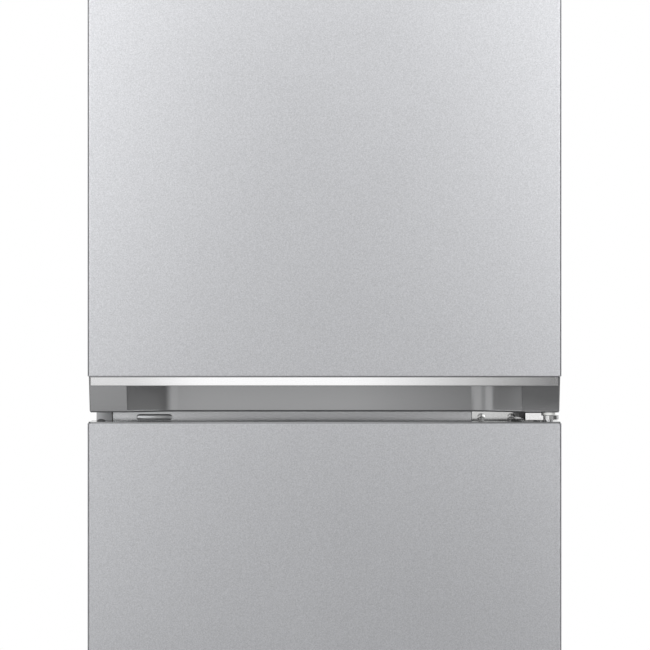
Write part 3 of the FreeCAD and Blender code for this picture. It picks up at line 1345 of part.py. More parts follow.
def handle_trim():
    """Bright strip seated in the grip's groove, its face parallel to the grip's."""
    piece = body("handle_trim")
    section = outline(piece, "YZ_Plane", [
        ("front + grip_top_setback + grip_slope * (grip_top - trim_top) - trim_proud", "trim_top"),
        ("front + grip_top_setback + grip_slope * (grip_top - trim_bottom) - trim_proud", "trim_bottom"),
        ("front + trim_seat", "trim_bottom"), ("front + trim_seat", "trim_top")])
    pad(piece, section, "overall_width - 2 * trim_inset - 2 * fit")
    return piece


def liner_plate(label, bottom, top):
    piece = body(label)
    add_box(piece, across("inner_width - fit"), ("grip_back", "door_back"), (bottom, top))
    return piece


def fridge_door_liner():
    """White inner panel with two hollow upright walls, whose lugs carry the bins."""
    piece = liner_plate("fridge_door_liner", "fridge_door_bottom", "fridge_door_top - fit")
    outer = "dyke_inner + dyke_width"
    z = ("grip_top", "fridge_door_top - dyke_margin")
    for side in SIDES:
        add_box(piece, beside(side, "dyke_inner", outer), ("grip_back", "door_back + dyke_depth"), z)
        cut_box(piece, beside(side, "dyke_inner + liner_wall", f"{outer} - liner_wall"),
                ("grip_back - overcut", "door_back + dyke_depth - liner_wall"),
                (f"{z[0]} + liner_wall", f"{z[1]} - liner_wall"))
        for name in DOOR_BINS:
            level = f"grip_top + {name}_rise"
            add_box(piece, beside(side, "dyke_inner - lug_reach", "dyke_inner + liner_wall / 2"),
                    ("door_back + lug_setback", "door_back + lug_setback + lug_length"),
                    (level, f"{level} + lug_height"))
    return piece


def door_bin(name):
    """Clear bin that hangs by a hook at each end on the liner's lugs."""
    piece = body("bottle_bin" if name == "bottle_bin" else name.replace("_bin", "_door_bin"))
    hook = f"grip_top + {name}_rise + lug_height + running_fit"
    bottom = f"{hook} - {name}_height / 2"
    top = f"{bottom} + {name}_height"
    add_box(piece, across("bin_half"), ("door_back + running_fit", "door_back + bin_depth"), (bottom, top))
    round_edges(piece, "drawer_round", lambda edge: runs_along(edge, "z"))
    floor = value(bottom)
    round_edges(piece, "drawer_round / 2", lambda edge: abs(edge.CenterOfMass.z - floor) < CLOSE)
    hollow(piece, "drawer_wall", faces_along("z", 1))
    for side in SIDES:
        add_box(piece, beside(side, "bin_half - drawer_wall / 2", "bin_half + hook_overlap"),
                ("door_back + lug_setback", "door_back + lug_setback + lug_length"),
                (hook, f"{hook} + hook_sheet"))
    return piece


def door_gasket(label, bottom, top):
    """Soft magnetic seal: a foot held in the liner, narrow bellows, and a bead that meets the cabinet."""
    piece = body(label)
    layers = (("door_back", "door_back + gasket_foot", "0"),
              ("door_back + gasket_foot", "cabinet_front - running_fit - gasket_bead",
               "(gasket_width - gasket_waist) / 2"),
              ("cabinet_front - running_fit - gasket_bead", "cabinet_front - running_fit", "0"))
    for low, high, inset in layers:
        half = f"half_width - gasket_inset - {inset}"
        edge = f"gasket_edge + {inset}"
        width = f"(gasket_width - 2 * {inset})"
        add_box(piece, across(half), (low, high), (f"{bottom} + {edge}", f"{top} - {edge}"))
        cut_box(piece, across(f"{half} - {width}"), (low, high),
                (f"{bottom} + {edge} + {width}", f"{top} - {edge} - {width}"))
    return piece


def bush(name, bottom, flange_bottom=None):
    """Plastic bush round a hinge pin, with a flange below it where the door's weight rests."""
    piece = body(name)
    low = flange_bottom or bottom
    add_rod(piece, "z", ("hinge_x", "hinge_y", bottom), "bush_length", "bush_radius")
    if flange_bottom:
        add_rod(piece, "z", ("hinge_x", "hinge_y", low), f"({bottom}) - ({low})", "bush_flange_radius")
    cut_rod(piece, "z", ("hinge_x", "hinge_y", f"{low} - overcut"),
            f"({bottom}) - ({low}) + bush_length + 2 * overcut", "pin_radius + pin_fit")
    return piece


def fridge_door_bushes():
    return group("fridge_door_bushes", [
        bush("fridge_top_bush", "fridge_door_top - bush_length"),
        bush("fridge_bottom_bush", "fridge_door_bottom", "middle_arm_top + running_fit")])


def freezer_door_bushes():
    return group("freezer_door_bushes", [
        bush("freezer_top_bush", "freezer_door_top - bush_length"),
        bush("freezer_bottom_bush", "freezer_door_bottom", "bottom_arm_top + running_fit")])


def freezer_door_skin():
    return door_skin("freezer_door_skin", "freezer_door_bottom", "skin_top")


def freezer_door_foam():
    return door_filling("freezer_door_foam", "0", "freezer_door_bottom + cap_depth",
                        "freezer_door_top - cap_depth")


def freezer_door_top_cap():
    """Grey moulding with a front lip, a finger channel behind it, and a lower ledge at the back."""
    piece = door_filling("freezer_door_top_cap", "fit", "freezer_door_top - cap_depth", "freezer_door_top")
    channel_front = "front + cap_lip_depth"
    channel_back = "front + cap_lip_depth + channel_width"
    cut_box(piece, across("half_width"), (channel_back, "door_back"),
            ("freezer_door_top - cap_ledge_drop", "freezer_door_top + overcut"))
    cut_box(piece, across("recess_half"), (channel_front, channel_back),
            ("freezer_door_top - channel_depth", "freezer_door_top + overcut"))
    cut_bush_seat(piece, "freezer_door_top - bush_length", "bush_length + overcut")
    cut_rod(piece, "z", ("-hinge_x", "hinge_y", "freezer_door_top - plug_stem - overcut"),
            "plug_stem + 2 * overcut", "plug_stem_radius + pin_fit")
    return piece


def freezer_door_bottom_cap():
    piece = door_filling("freezer_door_bottom_cap", "fit", "freezer_door_bottom",
                         "freezer_door_bottom + cap_depth")
    cut_box(piece, across("hinge_x - 2 * bush_radius"),
            ("front + 2 * moulding_wall", "grip_back - moulding_wall"),
            ("freezer_door_bottom + moulding_wall", "freezer_door_bottom + cap_depth + overcut"))
    cut_bush_seat(piece, "freezer_door_bottom - overcut", "bush_length + overcut")
    return piece


def hinge_hole_plug():
    """Small domed plug in the hinge hole that a door hung on the left would use."""
    piece = body("hinge_hole_plug")
    dome = "(plug_radius * plug_radius + plug_rise * plug_rise) / (2 * plug_rise)"
    turned(piece, [("0", "-plug_stem"), ("plug_stem_radius", "-plug_stem"), ("plug_stem_radius", "0"),
                   ("plug_radius", "0", dome, 1), ("0", "plug_rise")])
    place(piece, "-hinge_x", "hinge_y", "freezer_door_top")
    return piece


def freezer_door_liner():
    """White inner panel with a raised middle."""
    piece = liner_plate("freezer_door_liner", "freezer_door_bottom",
                        "freezer_door_top - cap_ledge_drop - fit")
    add_box(piece, across("emboss_half"), ("grip_back", "door_back + emboss_depth"),
            ("freezer_door_bottom + emboss_margin", "freezer_door_top - emboss_margin"))
    cut_box(piece, across("emboss_half - liner_wall"),
            ("grip_back - overcut", "door_back + emboss_depth - liner_wall"),
            ("freezer_door_bottom + emboss_margin + liner_wall",
             "freezer_door_top - emboss_margin - liner_wall"))
    return piece


NODES = [
    cabinet_shell(), back_panel(), base_pan(), middle_rail(), rail_slot_cover(),
    fridge_liner(), freezer_liner(), insulation_foam(),
    top_hinge_bracket(), top_hinge_cover(), middle_hinge_bracket(), bottom_hinge_bracket(),
    hinge_pins(), hinge_screws(),
    front_foot(-1, "left_foot"), front_foot(1, "right_foot"),
    rear_roller(-1, "left_roller"), rear_roller(1, "right_roller"),
    compressor_tray(), compressor(), drip_tray(), machine_cover(), mains_inlet(), refrigerant_tubes(),
    freezer_air_panel(), evaporator(), defrost_heater(), fan_motor(), evaporator_fan(),
    fridge_air_duct(), damper_flap(),
    glass_shelves(), shelf_trims(), crisper_drawer(), bottom_freezer_drawer(), *upper_freezer_drawers(),
    control_panel(), ceiling_light_lens(),
    fridge_door_skin(), fridge_door_foam(), fridge_door_top_cap(), handle_grip(), handle_trim(),
    fridge_door_liner(), *(door_bin(name) for name in DOOR_BINS),
    door_gasket("fridge_door_gasket", "fridge_door_bottom", "fridge_door_top"), fridge_door_bushes(),
    freezer_door_skin(), freezer_door_foam(), freezer_door_top_cap(), freezer_door_bottom_cap(),
    hinge_hole_plug(), freezer_door_liner(),
    door_gasket("freezer_door_gasket", "freezer_door_bottom", "freezer_door_top"), freezer_door_bushes(),
]
document.recompute()

for item in document.Objects:
    if "Invalid" in item.State or "Error" in item.State:
        raise RuntimeError(f"{item.Label} could not be built: {item.State}")
for node in NODES:
    if node.Shape.isNull() or not node.Shape.isValid() or not node.Shape.Solids:
        raise RuntimeError(f"{node.Label} has no valid solid")

os.makedirs("parts", exist_ok=True)
for node in NODES:
    node.Shape.exportStep(f"parts/{node.Label}.step")
print(len(NODES), "pieces,", sum(len(node.Shape.Solids) for node in NODES), "solids")
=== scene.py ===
import json
import math

import bmesh
import bpy
from mathutils import Matrix, Vector


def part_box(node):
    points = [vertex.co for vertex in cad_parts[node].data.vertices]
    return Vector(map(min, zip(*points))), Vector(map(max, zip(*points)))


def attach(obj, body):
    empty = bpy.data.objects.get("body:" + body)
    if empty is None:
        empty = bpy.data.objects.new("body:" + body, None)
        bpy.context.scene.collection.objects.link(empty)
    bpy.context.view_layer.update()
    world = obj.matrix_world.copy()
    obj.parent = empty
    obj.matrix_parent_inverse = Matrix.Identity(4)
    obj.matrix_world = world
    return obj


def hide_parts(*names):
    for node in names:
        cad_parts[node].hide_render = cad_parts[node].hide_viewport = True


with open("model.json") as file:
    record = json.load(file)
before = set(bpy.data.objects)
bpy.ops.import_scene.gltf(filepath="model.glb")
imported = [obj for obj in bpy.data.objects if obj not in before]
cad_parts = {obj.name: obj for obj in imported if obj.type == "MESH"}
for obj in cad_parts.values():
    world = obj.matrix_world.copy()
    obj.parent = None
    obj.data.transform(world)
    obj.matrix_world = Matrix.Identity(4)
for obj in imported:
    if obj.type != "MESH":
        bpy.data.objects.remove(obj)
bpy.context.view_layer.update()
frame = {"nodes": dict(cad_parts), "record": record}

# Base pan and compressor tray: galvanised steel sheet, cut and bent on a press brake.
# The pan closes the insulation from below and steps up over the machine space.
# The tray closes that space and carries the compressor and the rear rollers.

BODY_OF = {node: body for body, nodes in frame["record"]["behaviour"]["bodies"].items() for node in nodes}
MERGE_DISTANCE = 2e-6
FLAT_ANGLE = math.radians(0.6)
CREASE_ANGLE = math.radians(35)
PIERCED = ("machine_cover", "fridge_air_duct", "freezer_liner", "freezer_door_top_cap")


def add(tree, kind, inputs=(), **settings):
    """A node of a tree. An input is a value, or a socket that it is linked to."""
    node = tree.nodes.new(kind)
    for name, setting in settings.items():
        setattr(node, name, setting)
    for name, given in dict(inputs).items():
        if isinstance(given, bpy.types.NodeSocket):
            tree.links.new(given, node.inputs[name])
        else:
            node.inputs[name].default_value = given
    return node


def spread(tree, value, low, high, to_low=0.0, to_high=1.0):
    """A value stretched from one range to another."""
    limits = {"Value": value, "From Min": low, "From Max": high, "To Min": to_low, "To Max": to_high}
    return add(tree, "ShaderNodeMapRange", limits).outputs["Result"]


def toned(tree, mask, first, second):
    """A colour between two, by a mask. A colour Mix takes them at its sockets 0, 6 and 7."""
    return add(tree, "ShaderNodeMix", {0: mask, 6: first, 7: second}, data_type="RGBA").outputs[2]


def effect(name, pattern):
    """A shader group that puts out a mask between two tones and a relief height."""
    group = bpy.data.node_groups.new(name, "ShaderNodeTree")
    for name, way, kind in (("Vector", "INPUT", "Vector"), ("Scale", "INPUT", "Float"),
                            ("Mask", "OUTPUT", "Float"), ("Height", "OUTPUT", "Float")):
        group.interface.new_socket(name, in_out=way, socket_type=f"NodeSocket{kind}")
    given = add(group, "NodeGroupInput")
    mask, height = pattern(group, given.outputs["Vector"], given.outputs["Scale"])
    add(group, "NodeGroupOutput", {"Mask": mask, "Height": height})
    return group


def noise(tree, place, scale, detail=2.0, roughness=0.5):
    inputs = {"Vector": place, "Scale": scale, "Detail": detail, "Roughness": roughness}
    return add(tree, "ShaderNodeTexNoise", inputs).outputs["Fac"]


def spangle_pattern(tree, place, scale):
    cells = add(tree, "ShaderNodeTexVoronoi", {"Vector": place, "Scale": scale})
    tone = add(tree, "ShaderNodeSeparateColor", {"Color": cells.outputs["Color"]}).outputs["Red"]
    return tone, noise(tree, place, scale)


def marks_pattern(tree, place, scale):
    smears = noise(tree, place, scale, detail=4.0, roughness=0.62)
    return spread(tree, smears, 0.32, 0.68), noise(tree, place, scale)


ZINC_SPANGLE = effect("Zinc spangle", spangle_pattern)
HANDLING_MARKS = effect("Handling marks", marks_pattern)
MARKS_PER_METRE = 9.0


def surface(name, pattern, scale, tones, roughness, relief=0.0, stretch=None, sockets=()):
    """A finish of two close tones, with handling marks in its gloss and a fine relief."""
    material = bpy.data.materials.new(name)
    material.use_nodes = True
    tree = material.node_tree
    shader = tree.nodes["Principled BSDF"]
    place = add(tree, "ShaderNodeTexCoord").outputs["Object"]
    grain_place = place
    if stretch:
        grain_place = add(tree, "ShaderNodeMapping", {"Vector": place, "Scale": stretch}).outputs["Vector"]
    grain = add(tree, "ShaderNodeGroup", {"Vector": grain_place, "Scale": scale}, node_tree=pattern)
    marks = add(tree, "ShaderNodeGroup", {"Vector": place, "Scale": MARKS_PER_METRE},
                node_tree=HANDLING_MARKS)
    dark, light = ((*tone, 1.0) for tone in tones)
    tree.links.new(toned(tree, grain.outputs["Mask"], dark, light), shader.inputs["Base Color"])
    tree.links.new(spread(tree, marks.outputs["Mask"], 0.0, 1.0, *roughness), shader.inputs["Roughness"])
    if relief:
        bump = add(tree, "ShaderNodeBump", {"Distance": relief, "Height": grain.outputs["Height"]})
        tree.links.new(bump.outputs["Normal"], shader.inputs["Normal"])
    for socket, given in dict(sockets).items():
        shader.inputs[socket].default_value = given
    return material


def shown(name, mesh):
    """An object of a mesh, smooth but for its creases, at the origin."""
    mesh.shade_smooth()
    mesh.set_sharp_from_angle(angle=CREASE_ANGLE)
    piece = bpy.data.objects.new(name, mesh)
    bpy.context.scene.collection.objects.link(piece)
    return piece


def made(name, shape, material):
    """An object from a bmesh, in one finish."""
    mesh = bpy.data.meshes.new(name)
    shape.to_mesh(mesh)
    shape.free()
    mesh.materials.append(material)
    return shown(name, mesh)


def stand_for(piece, node):
    """A piece in the place of a CAD node: it rides on the node's body, and the node is hidden."""
    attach(piece, BODY_OF[node])
    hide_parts(node)
    return piece


def built_shape(node):
    """A CAD node's mesh, merged, with its flat faces whole again unless they have holes."""
    source = frame["nodes"][node].data
    plain = bpy.data.meshes.new(node)
    plain.from_pydata([v.co for v in source.vertices], [], [tuple(p.vertices) for p in source.polygons])
    shape = bmesh.new()
    shape.from_mesh(plain)
    bpy.data.meshes.remove(plain)
    bmesh.ops.remove_doubles(shape, verts=shape.verts, dist=MERGE_DISTANCE)
    if node not in PIERCED:
        bmesh.ops.dissolve_limit(shape, angle_limit=FLAT_ANGLE, verts=shape.verts, edges=shape.edges)
    return shape


def eased(node, width, material, weigh=None, steps=2, shape=None):
    """A CAD node, or a shape made from one, with sharp edges rounded as bending or moulding does."""
    shape = shape or built_shape(node)
    if weigh:
        weights = shape.edges.layers.float.new("bevel_weight_edge")
        for line in shape.edges:
            line[weights] = weigh(line)
    piece = made(f"{node}_finish", shape, material)
    bevel = piece.modifiers.new("Rounded edges", "BEVEL")
    bevel.width = width
    bevel.segments = steps
    bevel.limit_method = "WEIGHT" if weigh else "ANGLE"
    bevel.angle_limit = CREASE_ANGLE
    bevel.miter_outer = "MITER_ARC"
    bevel.harden_normals = True
    return stand_for(piece, node)


BENT_EDGE = 0.0005
galvanised = surface("galvanised_sheet", ZINC_SPANGLE, scale=95.0,
                     tones=((0.54, 0.55, 0.56), (0.60, 0.61, 0.62)), roughness=(0.36, 0.44),
                     relief=0.00002, sockets={"Metallic": 0.9})
for sheet_piece in ("base_pan", "compressor_tray"):
    eased(sheet_piece, BENT_EDGE, galvanised)

# Front feet and rear rollers: black nylon mouldings. Each foot is a fluted pad on a threaded stud
# that screws into a boss of the base pan; each roller turns on a stub axle between the tray's ears.


def stipple_pattern(tree, place, scale):
    cells = add(tree, "ShaderNodeTexVoronoi", {"Vector": place, "Scale": scale}, feature="SMOOTH_F1")
    return noise(tree, place, scale), cells.outputs["Distance"]


MOULDED_STIPPLE = effect("Moulded stipple", stipple_pattern)
black_nylon = surface("black_nylon", MOULDED_STIPPLE, scale=1100.0,
                      tones=((0.018, 0.018, 0.02), (0.034, 0.034, 0.037)), roughness=(0.42, 0.6),
                      relief=0.00003)


def lathe(profile, steps, flutes=0, flute_depth=0.0, fluted=lambda radius, height: False):
    """A round piece about Z from (radius, height) points, its chosen points drawn in between flutes."""
    shape = bmesh.new()
    rings = []
    for radius, height in profile:
        if radius == 0.0:
            rings.append([shape.verts.new((0.0, 0.0, height))])
            continue
        depth = flute_depth if fluted(radius, height) else 0.0
        ring = []
        for step in range(steps):
            angle = 2 * math.pi * step / steps
            reach = radius - depth * (0.5 - 0.5 * math.cos(flutes * angle))
            ring.append(shape.verts.new((reach * math.cos(angle), reach * math.sin(angle), height)))
        rings.append(ring)
    for lower, upper in zip(rings, rings[1:]):
        for step in range(steps):
            after = (step + 1) % steps
            corners = [lower[step % len(lower)], lower[after % len(lower)],
                       upper[after % len(upper)], upper[step % len(upper)]]
            shape.faces.new(list(dict.fromkeys(corners)))
    return shape


def formed(node, shape, material):
    """A shape built from points, its faces turned outward, in the place of a CAD node."""
    bmesh.ops.recalc_face_normals(shape, faces=shape.faces)
    return stand_for(made(f"{node}_finish", shape, material), node)


FOOT_FLUTES = 20
STEPS_PER_FLUTE = 6
FLUTE_DEPTH = 0.0012
FLUTE_MARGIN = 0.001
THREAD_PITCH = 0.0015
THREAD_DEPTH = 0.0006
STUD_RADIUS = 0.005
COLLAR_RADIUS = 0.011
COLLAR_TOP = 0.017
COLLAR_ROUND = 0.001
PAD_HEIGHT = 0.009
PAD_ROUND = 0.002
PAD_SLOPE = 0.0006
SOLE_ROUND = 0.0015


def on_pad_side(radius, height):
    return radius > COLLAR_RADIUS + PAD_ROUND and FLUTE_MARGIN < height < PAD_HEIGHT - FLUTE_MARGIN


for foot in ("left_foot", "right_foot"):
    low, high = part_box(foot)
    pad_radius = (high.x - low.x) / 2
    profile = [(0.0, 0.0), (pad_radius - PAD_ROUND, 0.0), (pad_radius, SOLE_ROUND),
               (pad_radius, PAD_HEIGHT - PAD_ROUND), (pad_radius - PAD_ROUND, PAD_HEIGHT),
               (COLLAR_RADIUS + COLLAR_ROUND, PAD_HEIGHT + PAD_SLOPE),
               (COLLAR_RADIUS, PAD_HEIGHT + SOLE_ROUND), (COLLAR_RADIUS, COLLAR_TOP - COLLAR_ROUND),
               (COLLAR_RADIUS - COLLAR_ROUND, COLLAR_TOP)]
    turns = int((high.z - COLLAR_TOP - 2 * THREAD_PITCH) / THREAD_PITCH)
    for turn in range(turns):
        height = COLLAR_TOP + THREAD_PITCH * (turn + 0.5)
        profile.append((STUD_RADIUS - THREAD_DEPTH, height))
        profile.append((STUD_RADIUS, height + THREAD_PITCH / 2))
    profile.append((STUD_RADIUS - 2 * THREAD_DEPTH, high.z))
    profile.append((0.0, high.z))
    shape = lathe(profile, STEPS_PER_FLUTE * FOOT_FLUTES, FOOT_FLUTES, FLUTE_DEPTH, on_pad_side)
    middle = (low + high) / 2
    bmesh.ops.translate(shape, vec=(middle.x, middle.y, 0.0), verts=shape.verts)
    formed(foot, shape, black_nylon)

ROLLER_STEPS = 48
TREAD_HALF = 0.008
AXLE_RADIUS = 0.003
HUB_RADIUS = 0.0075
WEB_DEPTH = 0.0012
WEB_SLOPE = 0.0005
TYRE_WALL = 0.003
SHOULDER = 0.0012
SHOULDER_RUN = 0.003
for roller in ("left_roller", "right_roller"):
    low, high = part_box(roller)
    radius = (high.z - low.z) / 2
    axle_half = (high.x - low.x) / 2
    half_profile = [(AXLE_RADIUS, -axle_half), (AXLE_RADIUS, -TREAD_HALF), (HUB_RADIUS, -TREAD_HALF),
                    (HUB_RADIUS + WEB_SLOPE, -TREAD_HALF + WEB_DEPTH),
                    (radius - TYRE_WALL - WEB_SLOPE, -TREAD_HALF + WEB_DEPTH),
                    (radius - TYRE_WALL, -TREAD_HALF), (radius - SHOULDER, -TREAD_HALF),
                    (radius - SHOULDER / 4, -TREAD_HALF + SHOULDER_RUN / 3),
                    (radius, -TREAD_HALF + SHOULDER_RUN)]
    other_half = [(reach, -along) for reach, along in reversed(half_profile)]
    shape = lathe([(0.0, -axle_half), *half_profile, *other_half, (0.0, axle_half)], ROLLER_STEPS)
    place = Matrix.Translation((low + high) / 2) @ Matrix.Rotation(math.pi / 2, 4, "Y")
    bmesh.ops.transform(shape, matrix=place, verts=shape.verts)
    formed(roller, shape, black_nylon)

# Cabinet shell and middle rail: pre-painted steel. One sheet is folded into both sides and the top,
# with a flange turned in round the front; the rail is a channel across it, behind the gap of the doors.


def peel_pattern(tree, place, scale):
    return noise(tree, place, scale, detail=3.0, roughness=0.6), noise(tree, place, scale)


PAINT_PEEL = effect("Paint peel", peel_pattern)
shell_paint = surface("textured_shell_paint", PAINT_PEEL, scale=700.0,
                      tones=((0.47, 0.475, 0.485), (0.51, 0.515, 0.525)), roughness=(0.46, 0.52),
                      relief=0.00004, sockets={"Metallic": 0.3})
rail_paint = surface("smooth_rail_paint", PAINT_PEEL, scale=700.0,
                     tones=((0.58, 0.585, 0.595), (0.62, 0.625, 0.635)), roughness=(0.2, 0.23),
                     relief=0.000003, sockets={"Metallic": 0.8})
PAINTED_EDGE = 0.0008
RAIL_SEAM = 0.0008
FRONT_SHEET = 0.0012
BEAD_EDGE = 0.0005
BEAD_MARGIN = 0.0015
BEAD_LEAN = 0.055
front_low, front_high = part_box("middle_rail")
bead_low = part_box("freezer_door_skin")[1].z - BEAD_MARGIN
bead_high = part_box("handle_grip")[0].z + BEAD_MARGIN


def beaded_shape(node):
    """A node's shape with a shallow bead pressed across its front, where the gap of the doors shows it."""
    shape = built_shape(node)
    for height in (bead_low - BEAD_EDGE, bead_low, bead_high, bead_high + BEAD_EDGE):
        cut = shape.verts[:] + shape.edges[:] + shape.faces[:]
        bmesh.ops.bisect_plane(shape, geom=cut, plane_co=(0.0, 0.0, height), plane_no=(0.0, 0.0, 1.0))
    for vert in shape.verts:
        in_bead = bead_low - MERGE_DISTANCE < vert.co.z < bead_high + MERGE_DISTANCE
        if in_bead and vert.co.y < front_low.y + FRONT_SHEET + MERGE_DISTANCE:
            vert.co.y += BEAD_LEAN * (vert.co.z - (bead_low + bead_high) / 2)
    return shape


eased("cabinet_shell", PAINTED_EDGE, shell_paint, shape=beaded_shape("cabinet_shell"))
rail_shape = beaded_shape("middle_rail")
for vert in rail_shape.verts:
    if abs(vert.co.x) > front_high.x - MERGE_DISTANCE:
        vert.co.x -= math.copysign(RAIL_SEAM, vert.co.x)
eased("middle_rail", PAINTED_EDGE, rail_paint, shape=rail_shape)

# Back panel and machine cover: thin galvanised sheets in the back of the shell. The cover has a row of
# louvres for the compressor's air and is held by pan-head screws, so that a fitter can reach the machine.
# Beside the louvres is the nylon gland for the mains lead.

CUT_EDGE = 0.0002
for sheet_piece in ("back_panel", "machine_cover"):
    eased(sheet_piece, CUT_EDGE, galvanised)

COVER_SCREW_MARGIN = 0.012
COVER_SCREW_COLUMNS = 4
COVER_SCREW_ROWS = 2
COVER_SCREW_HEAD = 0.0025
cover_low, cover_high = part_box("machine_cover")


def joined_to(first):
    """The vertices of a mesh that edges join to one vertex."""
    found = {first}
    waiting = [first]
    while waiting:
        vert = waiting.pop()
        for line in vert.link_edges:
            other = line.other_vert(vert)
            if other not in found:
                found.add(other)
                waiting.append(other)
    return found


def screw_grid_tree():
    """Pan-head screws on a grid of points in the back sheet."""
    tree = bpy.data.node_groups.new("Cover screws", "GeometryNodeTree")
    tree.interface.new_socket("Geometry", in_out="OUTPUT", socket_type="NodeSocketGeometry")
    for name, kind in (("Width", "Float"), ("Height", "Float"), ("Head", "Object"), ("Place", "Vector"),
                       ("Material", "Material")):
        tree.interface.new_socket(name, in_out="INPUT", socket_type=f"NodeSocket{kind}")
    given = add(tree, "NodeGroupInput").outputs
    grid = add(tree, "GeometryNodeMeshGrid", {"Size X": given["Width"], "Size Y": given["Height"],
                                              "Vertices X": COVER_SCREW_COLUMNS,
                                              "Vertices Y": COVER_SCREW_ROWS})
    head = add(tree, "GeometryNodeObjectInfo", {"Object": given["Head"]})
    points = add(tree, "GeometryNodeMeshToPoints", {"Mesh": grid.outputs["Mesh"]})
    heads = add(tree, "GeometryNodeInstanceOnPoints", {"Points": points.outputs["Points"],
                                                       "Instance": head.outputs["Geometry"]})
    solid = add(tree, "GeometryNodeRealizeInstances", {"Geometry": heads.outputs["Instances"]})
    upright = add(tree, "GeometryNodeTransform", {"Geometry": solid.outputs["Geometry"],
                                                  "Translation": given["Place"],
                                                  "Rotation": (-math.pi / 2, 0.0, 0.0)})
    painted = add(tree, "GeometryNodeSetMaterial", {"Geometry": upright.outputs["Geometry"],
                                                    "Material": given["Material"]})
    add(tree, "NodeGroupOutput", {"Geometry": painted.outputs["Geometry"]})
    return tree


def grown(name, tree, values):
    """The plain mesh that a geometry tree makes with these values."""
    carrier = bpy.data.objects.new(f"{name}_carrier", bpy.data.meshes.new(f"{name}_carrier"))
    bpy.context.scene.collection.objects.link(carrier)
    modifier = carrier.modifiers.new("Tree", "NODES")
    modifier.node_group = tree
    for socket in tree.interface.items_tree:
        if socket.in_out == "INPUT" and socket.name in values:
            modifier[socket.identifier] = values[socket.name]
    graph = bpy.context.evaluated_depsgraph_get()
    mesh = bpy.data.meshes.new_from_object(carrier.evaluated_get(graph))
    bpy.data.objects.remove(carrier)
    return shown(name, mesh)


bright_zinc = surface("bright_zinc", ZINC_SPANGLE, scale=420.0,
                      tones=((0.74, 0.74, 0.73), (0.84, 0.84, 0.83)), roughness=(0.12, 0.2),
                      relief=0.000004, sockets={"Metallic": 1.0})
screw_shape = built_shape("hinge_screws")
front_vert = min(screw_shape.verts, key=lambda vert: vert.co.y)
kept = joined_to(front_vert)
other_screws = [vert for vert in screw_shape.verts if vert not in kept]
bmesh.ops.delete(screw_shape, geom=other_screws, context="VERTS")
seat = Vector((sum(vert.co.x for vert in kept) / len(kept), front_vert.co.y + COVER_SCREW_HEAD,
               sum(vert.co.z for vert in kept) / len(kept)))
upright = Matrix.Rotation(-math.pi / 2, 4, "X") @ Matrix.Translation(-seat)
bmesh.ops.transform(screw_shape, matrix=upright, verts=screw_shape.verts)
pan_head = made("pan_head", screw_shape, bright_zinc)
cover_screws = grown("cover_screws", screw_grid_tree(), {
    "Width": cover_high.x - cover_low.x - 2 * COVER_SCREW_MARGIN,
    "Height": cover_high.z - cover_low.z - 2 * COVER_SCREW_MARGIN,
    "Place": (0.0, cover_high.y, (cover_low.z + cover_high.z) / 2),
    "Head": pan_head, "Material": bright_zinc})
bpy.data.objects.remove(pan_head)
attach(cover_screws, "cabinet")

GLAND_EDGE = 0.0008
eased("mains_inlet", GLAND_EDGE, black_nylon)

# Insulation: rigid foam blown between the shell and the liners, and inside both doors. It is closed in
# on every side; only its edges could be seen with a liner out.


def foam_pattern(tree, place, scale):
    cells = add(tree, "ShaderNodeTexVoronoi", {"Vector": place, "Scale": scale})
    return noise(tree, place, scale, detail=4.0, roughness=0.7), cells.outputs["Distance"]


FOAM_CELLS = effect("Foam cells", foam_pattern)
FOAM_EDGE = 0.004
foam = surface("insulation_foam", FOAM_CELLS, scale=620.0,
               tones=((0.66, 0.52, 0.27), (0.80, 0.68, 0.42)), roughness=(0.85, 0.95), relief=0.0003)


def coat(nodes, material):
    """CAD nodes whose shape is right keep it and take a finish."""
    for node in nodes:
        mesh = frame["nodes"][node].data
        mesh.materials.clear()
        mesh.materials.append(material)


coat(("insulation_foam",), foam)
for door_foam in ("fridge_door_foam", "freezer_door_foam"):
    eased(door_foam, FOAM_EDGE, foam)

# Liners: white polystyrene sheet, vacuum-formed over a mould, so their inner corners are round.
# Ribs formed in the side walls carry the glass shelves.

white_liner = surface("white_liner", PAINT_PEEL, scale=160.0,
                      tones=((0.80, 0.81, 0.82), (0.85, 0.86, 0.87)), roughness=(0.27, 0.32),
                      relief=0.00006, sockets={"Coat Weight": 0.25, "Coat Roughness": 0.12})
CAVITY_RADIUS = 0.009
CAVITY_STEPS = 4
LONG_CORNER = 0.25
RIM_DEPTH = 0.004
RIB_SHARE = 0.2


def rounding(line, long_length):
    """The share of the full radius on an edge: all of it on long ones, a little on short ones."""
    if len(line.link_faces) != 2 or line.calc_face_angle(0.0) < CREASE_ANGLE:
        return 0.0
    return 1.0 if line.calc_length() > long_length else RIB_SHARE


def cavity_weights(node):
    """Full rounding on the long inner corners, and a little on ribs and where the sheet meets steel."""
    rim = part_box(node)[0].y + RIM_DEPTH

    def weigh(line):
        middle = (line.verts[0].co + line.verts[1].co) / 2
        share = rounding(line, LONG_CORNER)
        return min(share, RIB_SHARE) if middle.y < rim else share
    return weigh


for liner in ("fridge_liner", "freezer_liner"):
    eased(liner, CAVITY_RADIUS, white_liner, cavity_weights(liner), steps=CAVITY_STEPS)

# Machine: a welded compressor in black paint, a drip tray of black plastic that sits on its warm dome,
# and copper tubes for the condenser and the suction line.

